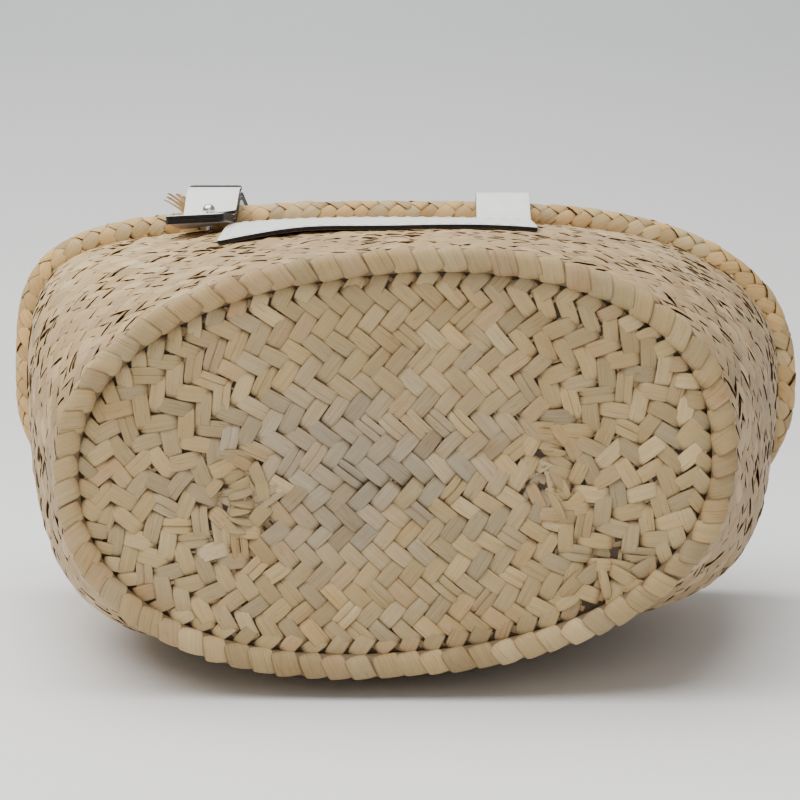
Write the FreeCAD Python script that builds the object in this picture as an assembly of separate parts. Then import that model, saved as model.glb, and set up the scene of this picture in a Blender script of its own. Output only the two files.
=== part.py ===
import FreeCAD, Part
import math
import os

os.makedirs("parts", exist_ok=True)

# A woven palm-leaf beach bag with white leather trim. Millimetres, +Z up to the mouth,
# the front (leather panel) faces -Y, and the origin is under the middle of the foot.

# Basket
FOOT_HALF_LENGTH = 136.0      # outside of the welt round the base
FOOT_HALF_DEPTH = 86.0
ELLIPSE_EXPONENT = 2.0        # an outline of exponent 2 is an ellipse, more is squarer
FOOT_EXPONENT = 2.25
MOUTH_HALF_LENGTH = 187.8     # outside of the wall, under the rim braid
MOUTH_HALF_DEPTH = 85.3
MOUTH_EXPONENT = 3.0
WALL_FOOT_INSET = 2.5         # the wall starts this far inside the welt's outer edge
LENGTH_BULGE = 6.0            # how far the wall swells out halfway up, at its ends
DEPTH_BULGE = 1.8             # and at its front and back
WALL_BOTTOM = 9.4
WALL_TOP = 234.0
WALL_THICKNESS = 4.0
BASE_UNDERSIDE = 4.0
BASE_THICKNESS = 4.0
WELT_WIDTH = 11.0
WELT_HEIGHT = 8.5
RIM_BOTTOM = 234.4
RIM_HEIGHT = 12.0
RIM_OUT = 9.8                 # how far the braid stands out from the wall's outer face
RIM_IN = 6.5                  # how far it stands in from the same face
WELT_ROUNDING = 3.5           # how much narrower the welt is at its foot and top
RIM_ROUNDING = 4.5
BASE_GAP = 0.5                # between the base plate and the welt
OUTLINE_POINTS = 64
WALL_LEVELS = (0.0, 0.12, 0.3, 0.55, 0.8, 1.0)          # shares of the height that shape the wall
RING_LEVELS = (0.0, 0.1, 0.25, 0.5, 0.75, 0.9, 1.0)     # and the welt and the rim braid
FAR = 200.0                   # beyond every part, for cutting right through
LAYER_MARGIN = 6.0            # leather blanks are cut from a layer this much larger
EDGE_REACH = 0.6              # how near an edge lies to the corner that names it
GRID_SPACING = (12.0, 3.0)    # spacing in x and z of the points that shape the leather

# Small strips of the base
LACING_COUNT = 64
LACING_SIZE = (9.0, 3.4, 0.8)
LACING_TOP = 3.7
LACING_SLANT = 28.0
LACING_INSET = 18.0
KNOT_CENTRE = (82.0, 45.0)
KNOT_HALF_SIZE = (14.0, 7.0)
KNOT_BOTTOM = 1.2
KNOT_TURN = -38.0
KNOT_LEVELS = ((0.0, -2.0), (1.0, -0.4), (2.5, 0.0))    # height over the bottom and offset
KNOT_CLEARANCE = 19.0         # no lacing strip closer than this to the knot

# Leather
LEATHER = 1.8
STRAP = 4.0                   # the strap is two glued layers
STRAP_WIDTH = 26.5
LEFT_STRAP_X = -95.0
RIGHT_STRAP_X = 49.5
CONTACT_GAP = 0.5             # leather to wall
LAYER_GAP = 0.25              # leather to leather
STRAP_PLANE = 95.5            # inner face of a strap where it passes the rim
LIFT_START = 214.0            # the strap leaves the wall here
LIFT_END = 238.0
STRAP_TOP = 246.5             # the fixed strap ends at this fold line
PANEL_LEFT = -84.0
PANEL_LEFT_BOTTOM = -81.0
PANEL_TOP = 205.0
PANEL_BOTTOM = 122.0
PANEL_CORNER = 3.0
RISER_LIFT_START = 203.0
RISER_LIFT_END = 222.0
LINING_BOTTOM = 223.0
TAB_BOTTOM = 205.0
TAB_TOP = 246.0
TAB_CORNER = 5.0
FRONT_STRAP_BOTTOM = 203.5
BACK_STRAP_BOTTOM = 200.0
TAIL_TOP = 202.2
TAIL_BOTTOM = 172.0
TAIL_SHIFT = -2.5             # the tail swings this far to -X at its tip
TAIL_CURL = 4.2               # how far the tail bends away from the wall
TAIL_CURL_RUN = (160.0, 207.0)  # the bend's curve, from below the tip to the tab
TAIL_TIP_WIDTH = 27.2

# Handles
HINGE_HEIGHT = 247.5          # fold line of both handles, just above the rim
HANDLE_START = 248.8          # above the gap that the fold needs
HANDLE_LEG = 22.0
HANDLE_RISE = 148.0
HANDLE_LEAN = 15.0            # both handles rest leaning towards each other
HANDLE_STATIONS = 25
TWIST_SHARE = 0.42            # share of the handle's length in which a leg turns flat

# Studs and thread
STUD_HEIGHT = 213.0
STUD_RADIUS = 3.1
STUD_DOME = 3.6
STUD_DOME_TURN = (0.78, 0.72)  # where the dome turns, as shares of its radius and height
STUD_SEAT_GAP = 0.8           # the flat under the head clears the curved leather
SHANK_RADIUS = 1.5
HOLE_RADIUS = 1.8
WASHER_RADIUS = 5.0
WASHER_THICKNESS = 0.8
WASHER_GAP = 1.4              # the flat washer clears the curved wall
RIVET_RADIUS = 2.6
RIVET_THICKNESS = 1.0
RIVET_GAP = 0.1
STITCH_PITCH = 6.6
STITCH_LENGTH = 4.4
STITCH_RADIUS = 0.35
STITCH_INSET = 3.6
COVERED_LEFT = -78.0          # no stitches where the strap's tail covers the panel
COVERED_BOTTOM = 184.0


def save(name, shape):
    shape.exportStep("parts/" + name + ".step")
    print(name, "valid", shape.isValid(), "solids", len(shape.Solids), "volume", round(shape.Volume))


def smooth(value, low, high):
    share = min(1.0, max(0.0, (value - low) / (high - low)))
    return share * share * (3.0 - 2.0 * share)


# ---------------------------------------------------------------- basket outlines

def foot_outline():
    return FOOT_HALF_LENGTH, FOOT_HALF_DEPTH, FOOT_EXPONENT


def wall_outline(height):
    """Half length, half depth and exponent of the wall's outer face at a height."""
    share = (height - WALL_BOTTOM) / (WALL_TOP - WALL_BOTTOM)
    bulge = 4.0 * share * (1.0 - share)
    low_length = FOOT_HALF_LENGTH - WALL_FOOT_INSET
    low_depth = FOOT_HALF_DEPTH - WALL_FOOT_INSET
    return (low_length + (MOUTH_HALF_LENGTH - low_length) * share + LENGTH_BULGE * bulge,
            low_depth + (MOUTH_HALF_DEPTH - low_depth) * share + DEPTH_BULGE * bulge,
            FOOT_EXPONENT + (MOUTH_EXPONENT - FOOT_EXPONENT) * share)


def outline_point(outline, angle):
    length, depth, exponent = outline
    across = math.cos(angle)
    along = math.sin(angle)
    scale = (abs(across) ** exponent + abs(along) ** exponent) ** (-1.0 / exponent)
    return length * across * scale, depth * along * scale


def outline_wire(outline, height, offset):
    """A closed smooth wire parallel to an outline, offset outwards."""
    points = []
    step = 1e-4
    for index in range(OUTLINE_POINTS):
        angle = 2.0 * math.pi * index / OUTLINE_POINTS
        x, y = outline_point(outline, angle)
        ahead = outline_point(outline, angle + step)
        behind = outline_point(outline, angle - step)
        tangent = FreeCAD.Vector(ahead[0] - behind[0], ahead[1] - behind[1], 0).normalize()
        points.append(FreeCAD.Vector(x + offset * tangent.y, y - offset * tangent.x, height))
    curve = Part.BSplineCurve()
    curve.interpolate(points, PeriodicFlag=True)
    return Part.Wire(curve.toShape())


def loft(sections):
    return Part.makeLoft([outline_wire(*section) for section in sections], True, False)


def wall_solid(offset, bottom, top):
    heights = [bottom + (top - bottom) * share for share in WALL_LEVELS]
    return loft([(wall_outline(height), height, offset) for height in heights])


def wall_face(x, height):
    """Distance of the wall's outer face in front of (or behind) the middle at x."""
    length, depth, exponent = wall_outline(height)
    share = min(1.0, abs(x / length))
    return depth * (1.0 - share ** exponent) ** (1.0 / exponent)


def ring(outline, bottom, height, outer, inner, foot):
    """A closed ring with rounded sides: offsets outer and inner, flat foot and top."""
    outside = []
    inside = []
    for share in RING_LEVELS:
        round_off = 1.0 - math.sqrt(1.0 - (2.0 * share - 1.0) ** 2)
        outside.append((outline, bottom + height * share, outer - foot * round_off))
        inside.append((outline, bottom + height * share, inner + foot * round_off))
    return loft(outside).cut(loft(inside))


# ---------------------------------------------------------------- leather layers

def strap_inner(x, height):
    """Inner face of the leather: on the wall below, clear of the braid at the rim."""
    lift = smooth(height, LIFT_START, LIFT_END)
    return (1.0 - lift) * (wall_face(x, height) + CONTACT_GAP) + lift * STRAP_PLANE


def front_strap_inner(x, height):
    """The front strap lies over the panel's corner, then joins the others at the rim."""
    lift = smooth(height, LIFT_START, LIFT_END)
    return strap_inner(x, height) + (LEATHER + LAYER_GAP) * (1.0 - lift)


def riser_inner(x, height):
    return strap_inner(x, height) + (LEATHER + LAYER_GAP) * smooth(height, RISER_LIFT_START, RISER_LIFT_END)


def grid_face(left, right, bottom, top, distance):
    """A face at y = -distance(x, z) over a rectangle of x and z."""
    columns = 2 + int((right - left) / GRID_SPACING[0])
    rows = 2 + int((top - bottom) / GRID_SPACING[1])
    grid = []
    for column in range(columns):
        x = left + (right - left) * column / (columns - 1.0)
        line = []
        for row in range(rows):
            height = bottom + (top - bottom) * row / (rows - 1.0)
            line.append(FreeCAD.Vector(x, -distance(x, height), height))
        grid.append(line)
    surface = Part.BSplineSurface()
    surface.interpolate(grid)
    return surface.toShape()


def layer(outline, inner, thickness):
    """The leather whose outline (x, z corners) is cut from a layer outside `inner`."""
    left = min(point[0] for point in outline) - LAYER_MARGIN
    right = max(point[0] for point in outline) + LAYER_MARGIN
    bottom = min(point[1] for point in outline) - LAYER_MARGIN
    top = max(point[1] for point in outline) + LAYER_MARGIN
    face = grid_face(left, right, bottom, top, inner)
    block = face.extrude(FreeCAD.Vector(0, -thickness, 0))
    corners = [FreeCAD.Vector(x, 0, height) for x, height in outline]
    blank = Part.Face(Part.makePolygon(corners + corners[:1]))
    return block.common(blank.extrude(FreeCAD.Vector(0, -FAR, 0)))


def round_upright_edges(shape, places, radius):
    """Round the edges that run through the leather at the given (x, z) places."""
    chosen = []
    for edge in shape.Edges:
        middle = edge.valueAt((edge.FirstParameter + edge.LastParameter) / 2.0)
        near = [place for place in places
                if abs(middle.x - place[0]) < EDGE_REACH and abs(middle.z - place[1]) < EDGE_REACH]
        if near and edge.Length < 3.0 * STRAP:
            chosen.append(edge)
    return shape.makeFillet(radius, chosen)


def drill(shape, x, height):
    """A stud hole through whatever lies in front of the middle."""
    hole = Part.makeCylinder(HOLE_RADIUS, FAR, FreeCAD.Vector(x, -FAR, height), FreeCAD.Vector(0, 1, 0))
    return shape.cut(hole)


def to_back(shape):
    return shape.mirror(FreeCAD.Vector(0, 0, 0), FreeCAD.Vector(0, 1, 0))


def strap_outline(centre, bottom):
    half = STRAP_WIDTH / 2.0
    return [(centre - half, bottom), (centre + half, bottom),
            (centre + half, STRAP_TOP), (centre - half, STRAP_TOP)]


def keeper_tab(centre, inner):
    half = STRAP_WIDTH / 2.0
    outline = [(centre - half, TAB_BOTTOM), (centre + half, TAB_BOTTOM),
               (centre + half, TAB_TOP), (centre - half, TAB_TOP)]
    tab = layer(outline, lambda x, z: inner(x, z) + STRAP + LAYER_GAP, LEATHER)
    tab = round_upright_edges(tab, outline[:2], TAB_CORNER)
    return drill(tab, centre, STUD_HEIGHT)


def strap_end(centre, bottom, inner):
    return drill(layer(strap_outline(centre, bottom), inner, STRAP), centre, STUD_HEIGHT)


def front_panel():
    right = RIGHT_STRAP_X + STRAP_WIDTH / 2.0
    riser_left = RIGHT_STRAP_X - STRAP_WIDTH / 2.0
    outline = [(PANEL_LEFT_BOTTOM, PANEL_BOTTOM), (right, PANEL_BOTTOM), (right, STRAP_TOP),
               (riser_left, STRAP_TOP), (riser_left, PANEL_TOP), (PANEL_LEFT, PANEL_TOP)]
    panel = layer(outline, riser_inner, LEATHER)
    return round_upright_edges(panel, [outline[0], outline[1], outline[4], outline[5]], PANEL_CORNER)


def riser_lining():
    return layer(strap_outline(RIGHT_STRAP_X, LINING_BOTTOM), strap_inner, LEATHER)


def tail():
    """The strap's loose end: it leaves the tab, swings to -X and curls off the wall."""
    half = STRAP_WIDTH / 2.0
    tip_half = TAIL_TIP_WIDTH / 2.0
    tip = LEFT_STRAP_X + TAIL_SHIFT
    outline = [(tip - tip_half, TAIL_BOTTOM), (tip + tip_half, TAIL_BOTTOM),
               (LEFT_STRAP_X + half, TAIL_TOP), (LEFT_STRAP_X - half, TAIL_TOP)]

    def inner(x, height):
        droop = 1.0 - smooth(height, *TAIL_CURL_RUN)
        return front_strap_inner(x, height) + TAIL_CURL * droop

    return layer(outline, inner, STRAP)


def stitch_line(start, end):
    """Short stitches along a line of the panel, lying on its outer face."""
    length = math.hypot(end[0] - start[0], end[1] - start[1])
    count = int(length / STITCH_PITCH)
    stitches = []
    for index in range(count):
        ends = []
        for side in (-0.5, 0.5):
            share = ((index + 0.5) * STITCH_PITCH + side * STITCH_LENGTH) / length
            x = start[0] + (end[0] - start[0]) * share
            height = start[1] + (end[1] - start[1]) * share
            out = riser_inner(x, height) + LEATHER + LAYER_GAP + STITCH_RADIUS
            ends.append(FreeCAD.Vector(x, -out, height))
        run = ends[1] - ends[0]
        covered = ends[0].x < COVERED_LEFT and max(ends[0].z, ends[1].z) > COVERED_BOTTOM
        if not covered:
            stitches.append(Part.makeCylinder(STITCH_RADIUS, run.Length, ends[0], run))
    return stitches


def panel_stitching():
    left = PANEL_LEFT_BOTTOM + STITCH_INSET
    left_top = PANEL_LEFT + STITCH_INSET
    right = RIGHT_STRAP_X + STRAP_WIDTH / 2.0 - STITCH_INSET
    low = PANEL_BOTTOM + STITCH_INSET
    high = PANEL_TOP - STITCH_INSET
    corners = [(left, low), (right, low), (right, high), (left_top, high)]
    stitches = []
    for start, end in zip(corners, corners[1:] + corners[:1]):
        stitches += stitch_line(start, end)
    return Part.makeCompound(stitches)


# ---------------------------------------------------------------- handles

def handle():
    """A flat doubled strap: each leg rises at the rim and turns flat towards the top."""
    span = (RIGHT_STRAP_X - LEFT_STRAP_X) / 2.0
    middle = (RIGHT_STRAP_X + LEFT_STRAP_X) / 2.0
    out = FreeCAD.Vector(0, -1, 0)
    start = HANDLE_START - HINGE_HEIGHT
    wires = []
    for index in range(-2, HANDLE_STATIONS + 2):
        turn = math.pi * min(1.0, max(0.0, index / (HANDLE_STATIONS - 1.0)))
        below = max(0, -index, index - (HANDLE_STATIONS - 1)) / 2.0
        centre = FreeCAD.Vector(middle - span * math.cos(turn), 0,
                                start + HANDLE_LEG * (1.0 - below) + HANDLE_RISE * math.sin(turn))
        tangent = FreeCAD.Vector(span * math.sin(turn), 0, HANDLE_RISE * math.cos(turn)).normalize()
        sideways = tangent.cross(out)
        share = min(turn, math.pi - turn) / math.pi
        twist = math.pi / 2.0 * smooth(share, 0.0, TWIST_SHARE)
        across = sideways * math.cos(twist) + out * math.sin(twist)
        through = out * math.cos(twist) - sideways * math.sin(twist)
        half = across * (STRAP_WIDTH / 2.0)
        thick = through * (STRAP / 2.0)
        corners = [centre - half - thick, centre + half - thick, centre + half + thick, centre - half + thick]
        wires.append(Part.makePolygon(corners + corners[:1]))
    strap = Part.makeLoft(wires, True, False)
    strap.rotate(FreeCAD.Vector(0, 0, 0), FreeCAD.Vector(1, 0, 0), -HANDLE_LEAN)
    strap.translate(FreeCAD.Vector(0, -(STRAP_PLANE + STRAP / 2.0), HINGE_HEIGHT))
    return strap


# ---------------------------------------------------------------- studs

def stud(x, inner):
    """Ball-like head, shank through tab, strap and wall, and a peened end inside."""
    seat = inner(x, STUD_HEIGHT) + STRAP + LAYER_GAP + LEATHER + STUD_SEAT_GAP
    inside = wall_face(x, STUD_HEIGHT) - WALL_THICKNESS - WASHER_GAP - WASHER_THICKNESS - RIVET_GAP
    crown = Part.Arc(FreeCAD.Vector(0, seat + STUD_DOME, 0),
                     FreeCAD.Vector(STUD_RADIUS * STUD_DOME_TURN[0], seat + STUD_DOME * STUD_DOME_TURN[1], 0),
                     FreeCAD.Vector(STUD_RADIUS, seat, 0))
    outline = [FreeCAD.Vector(STUD_RADIUS, seat, 0), FreeCAD.Vector(SHANK_RADIUS, seat, 0),
               FreeCAD.Vector(SHANK_RADIUS, inside, 0), FreeCAD.Vector(RIVET_RADIUS, inside, 0),
               FreeCAD.Vector(RIVET_RADIUS, inside - RIVET_THICKNESS, 0),
               FreeCAD.Vector(0, inside - RIVET_THICKNESS, 0), FreeCAD.Vector(0, seat + STUD_DOME, 0)]
    edges = [crown.toShape()] + [Part.makeLine(a, b) for a, b in zip(outline, outline[1:])]
    body = Part.Face(Part.Wire(edges)).revolve(FreeCAD.Vector(0, 0, 0), FreeCAD.Vector(0, 1, 0), 360)
    body.rotate(FreeCAD.Vector(0, 0, 0), FreeCAD.Vector(0, 0, 1), 180)
    body.translate(FreeCAD.Vector(x, 0, STUD_HEIGHT))
    return body


def washer(x):
    near = wall_face(x, STUD_HEIGHT) - WALL_THICKNESS - WASHER_GAP
    place = FreeCAD.Vector(x, -near, STUD_HEIGHT)
    inwards = FreeCAD.Vector(0, 1, 0)
    disc = Part.makeCylinder(WASHER_RADIUS, WASHER_THICKNESS, place, inwards)
    return disc.cut(Part.makeCylinder(HOLE_RADIUS, WASHER_THICKNESS, place, inwards))


# ---------------------------------------------------------------- strips under the base

def lacing():
    length, width, thickness = LACING_SIZE
    outline = foot_outline()
    inner = (outline[0] - LACING_INSET, outline[1] - LACING_INSET, outline[2])
    strips = []
    for index in range(LACING_COUNT):
        angle = 2.0 * math.pi * (index + 0.5) / LACING_COUNT
        x, y = outline_point(inner, angle)
        if math.hypot(x - KNOT_CENTRE[0], y - KNOT_CENTRE[1]) < KNOT_CLEARANCE:
            continue
        facing = math.degrees(math.atan2(y * inner[0], x * inner[1])) + LACING_SLANT
        strip = Part.makeBox(length, width, thickness,
                             FreeCAD.Vector(-length / 2.0, -width / 2.0, LACING_TOP - thickness))
        strip.rotate(FreeCAD.Vector(0, 0, 0), FreeCAD.Vector(0, 0, 1), facing)
        strip.translate(FreeCAD.Vector(x, y, 0))
        strips.append(strip)
    return Part.makeCompound(strips)


def closing_knot():
    outline = (*KNOT_HALF_SIZE, ELLIPSE_EXPONENT)
    knot = loft([(outline, KNOT_BOTTOM + level, offset) for level, offset in KNOT_LEVELS])
    knot.rotate(FreeCAD.Vector(0, 0, 0), FreeCAD.Vector(0, 0, 1), KNOT_TURN)
    knot.translate(FreeCAD.Vector(KNOT_CENTRE[0], KNOT_CENTRE[1], 0))
    return knot


# ---------------------------------------------------------------- basket body

foot = foot_outline()
base_inset = -(WELT_WIDTH + BASE_GAP)
save("woven_base", loft([(foot, BASE_UNDERSIDE, base_inset),
                         (foot, BASE_UNDERSIDE + BASE_THICKNESS, base_inset)]))
save("base_edge_welt", ring(foot, 0.0, WELT_HEIGHT, 0.0, -WELT_WIDTH, WELT_ROUNDING))
save("base_edge_lacing", lacing())
save("base_closing_knot", closing_knot())

wall = wall_solid(0.0, WALL_BOTTOM, WALL_TOP).cut(wall_solid(-WALL_THICKNESS, WALL_BOTTOM - 1.0, WALL_TOP + 1.0))
wall = drill(wall, LEFT_STRAP_X, STUD_HEIGHT)
for centre in (LEFT_STRAP_X, RIGHT_STRAP_X):
    wall = to_back(drill(to_back(wall), centre, STUD_HEIGHT))
save("woven_wall", wall)
save("mouth_rim_braid", ring(wall_outline(WALL_TOP), RIM_BOTTOM, RIM_HEIGHT, RIM_OUT, -RIM_IN, RIM_ROUNDING))

# ---------------------------------------------------------------- front leather

save("front_panel", front_panel())
save("front_panel_stitching", panel_stitching())
save("front_riser_lining", riser_lining())
save("front_strap_end", strap_end(LEFT_STRAP_X, FRONT_STRAP_BOTTOM, front_strap_inner))
save("front_strap_tail", tail())
save("front_keeper_tab", keeper_tab(LEFT_STRAP_X, front_strap_inner))
save("front_handle", handle())

# ---------------------------------------------------------------- back leather

for side, centre in (("left", LEFT_STRAP_X), ("right", RIGHT_STRAP_X)):
    save("back_" + side + "_strap_end", to_back(strap_end(centre, BACK_STRAP_BOTTOM, strap_inner)))
    save("back_" + side + "_keeper_tab", to_back(keeper_tab(centre, strap_inner)))
save("back_handle", to_back(handle()))

# ---------------------------------------------------------------- fasteners

studs = [stud(LEFT_STRAP_X, front_strap_inner),
         to_back(stud(LEFT_STRAP_X, strap_inner)), to_back(stud(RIGHT_STRAP_X, strap_inner))]
washers = [washer(LEFT_STRAP_X), to_back(washer(LEFT_STRAP_X)), to_back(washer(RIGHT_STRAP_X))]
save("dome_studs", Part.makeCompound(studs))
save("stud_washers", Part.makeCompound(washers))
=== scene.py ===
import functools
import math

import bmesh
import bpy
import numpy as np
from mathutils import Matrix, Vector


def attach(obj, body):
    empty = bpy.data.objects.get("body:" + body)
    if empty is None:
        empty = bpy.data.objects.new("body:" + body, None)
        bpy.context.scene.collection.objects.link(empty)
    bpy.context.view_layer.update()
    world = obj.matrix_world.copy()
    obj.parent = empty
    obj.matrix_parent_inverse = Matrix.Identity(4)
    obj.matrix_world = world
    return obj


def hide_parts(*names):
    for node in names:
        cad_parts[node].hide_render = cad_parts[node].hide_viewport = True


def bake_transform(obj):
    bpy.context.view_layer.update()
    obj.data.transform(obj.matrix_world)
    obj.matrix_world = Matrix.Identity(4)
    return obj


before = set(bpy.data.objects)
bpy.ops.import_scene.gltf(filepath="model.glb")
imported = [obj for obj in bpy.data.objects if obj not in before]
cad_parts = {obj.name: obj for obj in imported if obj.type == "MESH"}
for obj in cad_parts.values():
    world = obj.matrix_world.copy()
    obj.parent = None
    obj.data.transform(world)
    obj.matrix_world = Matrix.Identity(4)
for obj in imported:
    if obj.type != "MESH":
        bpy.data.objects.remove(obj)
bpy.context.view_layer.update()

MM = 0.001

# ---------------------------------------------------------------- sizes, in millimetres

# The sides of the bag, as signs of Y
FRONT = -1.0
BACK = 1.0

# Basket shell, as in the CAD
FOOT_HALF_LENGTH = 136.0
FOOT_HALF_DEPTH = 86.0
FOOT_EXPONENT = 2.25
MOUTH_HALF_LENGTH = 187.8
MOUTH_HALF_DEPTH = 85.3
MOUTH_EXPONENT = 3.0
WALL_FOOT_INSET = 2.5
LENGTH_BULGE = 6.0
DEPTH_BULGE = 1.8
WALL_BOTTOM = 9.4
WALL_TOP = 234.0
WALL_THICKNESS = 4.0
BASE_UNDERSIDE = 4.0
BASE_TOP = 8.0
WELT_WIDTH = 11.0
WELT_HEIGHT = 8.5
RIM_CENTRE_HEIGHT = 240.4
RIM_CENTRE_OUT = 1.65
RIM_HALF_WIDTH = 8.4
RIM_HALF_HEIGHT = 6.4

# How the soft shell sags as it lies on its back
FOOT_TURN = math.radians(-4.9)     # the foot is turned against the mouth
FOOT_SHIFT = (1.8, 3.2)            # and has slid a little
SETTLE_HEIGHT = 203.0              # above this the shell keeps its true shape
BACK_BULGE = 9.5                   # the back rests on a belly
BACK_BULGE_TOP = 196.0
BACK_BULGE_FULLNESS = 1.2          # the belly starts close above the foot
BACK_BULGE_SQUARING = 1.2
CORNER_START = 0.5                 # share of the half length where the corners begin
LEFT_FRONT_SQUARING = 1.1
RIGHT_FRONT_SQUARING = -0.2
BACK_SQUARING = -0.8

# Twill weave
TWILL = math.radians(45.0)    # the strips' slant against the rows
DIAGONAL = math.sqrt(2.0)     # a float's length over its row height
STRIP = 6.5                   # strip width
WALL_STRIP = 6.75
PITCH = 9.1                   # from float to float along a row
ROW = 8.4                     # row height
BAND_ROWS = 4                 # rows that share one float count, as in one plaited band
WALL_SPLITS = 0.12            # share of the floats that are split lengthwise
BASE_SPLITS = 0.13
SPLIT_WIDTH = 0.52            # width of each half
WALL_TUCK = 5.0
TUCK = 4.4                    # how much of a float's length is tucked under its neighbours

# Base plait: rings round a straight spine between two foci
FOCUS_X = 63.0
SPINE_Y = 8.0
BASE_INSET = 14.4             # from the foot's outline to the outermost ring
LACING_INSET = 13.5
KNOT = (78.0, 47.5)

# Leather
LEATHER = 1.8
LAYER_GAP = 0.25
STRAP = 4.0
LINING = STRAP - LEATHER      # the inner layer of a strap
LINING_GAP = 0.15
LINING_RIGHT_BOTTOM = 224.0
LINING_LEFT_BOTTOM = 204.0
PATCH_CORNER = 3.0
STRAP_CORNER = 4.0
TAIL_CORNER = 1.6
TAB_LOW_CORNER = 5.0
TAB_HIGH_CORNER = 3.0
STRAP_WIDTH = 26.5
LEFT_STRAP_X = -95.0
RIGHT_STRAP_X = 49.5
CONTACT_GAP = 0.5
STRAP_PLANE = 95.5
LIFT_START = 214.0
LIFT_END = 238.0
PANEL_LEFT = -84.0
PANEL_LEFT_BOTTOM = -81.0
PANEL_LOOSE_X = -42.0         # the patch's lower edge stands off the wall here
PANEL_LOOSE = 1.3
PANEL_TOP = 205.0
PANEL_BOTTOM = 122.0
RISER_LIFT_START = 203.0
RISER_LIFT_END = 222.0
TAB_BOTTOM = 205.0
TAB_TOP = 246.0
TAB_PAINT_FROM = 240.5        # the black edge paint laps over the tab's top
TAB_FLARE = 1.4               # its top edge turns out a little
BACK_STRAP_BOTTOM = 200.0
TAIL_TOP = 202.2
TAIL_BOTTOM = 172.0
TAIL_SHIFT = -2.5
TAIL_CURL = 4.2
TAIL_SLOPE = 0.05             # the tip's right corner stands out a little further
TAIL_CURL_RUN = (172.0, 207.0)
TAIL_TIP_WIDTH = 27.2
STITCH_PITCH = 6.6
STITCH_LENGTH = 4.4
STITCH_INSET = 3.6
STITCH_RADIUS = 0.35
STITCH_COVERED_LEFT = -78.0   # no stitches under the strap's tail
STITCH_COVERED_BOTTOM = 184.0
COLUMNS = 12                  # grid columns across a strap

# Handles
HINGE_HEIGHT = 247.5
HANDLE_LEG = 22.0
HANDLE_RISE = 148.0
HANDLE_LEAN = math.radians(15.0)
TWIST_SHARE = 0.42

rng = np.random.default_rng(41)


# ---------------------------------------------------------------- small helpers

def smooth(value, low, high):
    """0 below low, 1 above high and an even turn from one to the other."""
    share = np.clip((np.asarray(value, float) - low) / (high - low), 0.0, 1.0)
    return share * share * (3.0 - 2.0 * share)


def unit(vectors):
    return vectors / np.maximum(np.linalg.norm(vectors, axis=-1, keepdims=True), 1e-9)


def jitter(spread, count):
    """Random amounts round 0, from the script's one stream of random numbers."""
    return rng.normal(0.0, spread, count)


def vary(spread, count):
    """Random factors round 1."""
    return rng.normal(1.0, spread, count)


def add_mesh(name, points, faces, materials):
    """A smooth-shaded mesh from points in millimetres."""
    mesh = bpy.data.meshes.new(name)
    mesh.from_pydata([tuple(p) for p in np.asarray(points) * MM], [], faces)
    for material in materials:
        mesh.materials.append(material)
    mesh.polygons.foreach_set("use_smooth", [True] * len(mesh.polygons))
    mesh.update()
    obj = bpy.data.objects.new(name, mesh)
    bpy.context.collection.objects.link(obj)
    return obj


def grid_faces(rows, columns, start=0, closed_rows=False, closed_columns=False):
    """Faces of a table of points, joined up round the ends where it is closed."""
    row = np.arange(rows if closed_rows else rows - 1)[:, None]
    column = np.arange(columns if closed_columns else columns - 1)[None, :]
    low = row * columns
    high = (row + 1) % rows * columns
    after = (column + 1) % columns
    corners = np.stack([low + column, low + after, high + after, high + column], axis=-1)
    return (corners.reshape(-1, 4) + start).tolist()


def set_attribute(obj, name, kind, values):
    """Stores a value, a vector or a colour for each point, for the materials to read."""
    attribute = obj.data.attributes.new(name, kind, "POINT")
    field = "color" if kind == "FLOAT_COLOR" else "vector" if kind == "FLOAT_VECTOR" else "value"
    attribute.data.foreach_set(field, np.asarray(values, np.float32).ravel())


# ---------------------------------------------------------------- basket surfaces

def wall_size(height):
    """Half length, half depth, exponent and share of the way up, as in the CAD."""
    share = float(np.clip((height - WALL_BOTTOM) / (WALL_TOP - WALL_BOTTOM), 0.0, 1.05))
    bulge = 4.0 * share * (1.0 - share)
    low_length = FOOT_HALF_LENGTH - WALL_FOOT_INSET
    low_depth = FOOT_HALF_DEPTH - WALL_FOOT_INSET
    return (low_length + (MOUTH_HALF_LENGTH - low_length) * share + LENGTH_BULGE * bulge,
            low_depth + (MOUTH_HALF_DEPTH - low_depth) * share + DEPTH_BULGE * bulge,
            FOOT_EXPONENT + (MOUTH_EXPONENT - FOOT_EXPONENT) * share,
            share)


def back_bulge(height):
    """0 to 1 to 0 between the foot and the straps: where the back rests on its belly."""
    return math.sin(math.pi * min(1.0, max(0.0, height / BACK_BULGE_TOP))) ** BACK_BULGE_FULLNESS


def outline(length, depth, exponent, angle):
    """Points on a rounded oval with this half length and half depth."""
    across = np.cos(angle)
    along = np.sin(angle)
    scale = (np.abs(across) ** exponent + np.abs(along) ** exponent) ** (-1.0 / exponent)
    return length * across * scale, depth * along * scale


def settle(x, y, height):
    """Turns and shifts a level of the shell, most at the foot and not at all near the mouth."""
    slack = 1.0 - smooth(height, 0.0, SETTLE_HEIGHT)
    turn = FOOT_TURN * slack
    return (x * np.cos(turn) - y * np.sin(turn) + FOOT_SHIFT[0] * slack,
            x * np.sin(turn) + y * np.cos(turn) + FOOT_SHIFT[1] * slack)


def outward(x, y):
    """Unit vectors that point out of a closed line, from its neighbouring points."""
    dx = np.roll(x, -1) - np.roll(x, 1)
    dy = np.roll(y, -1) - np.roll(y, 1)
    size = np.hypot(dx, dy)
    return dy / size, -dx / size


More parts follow.
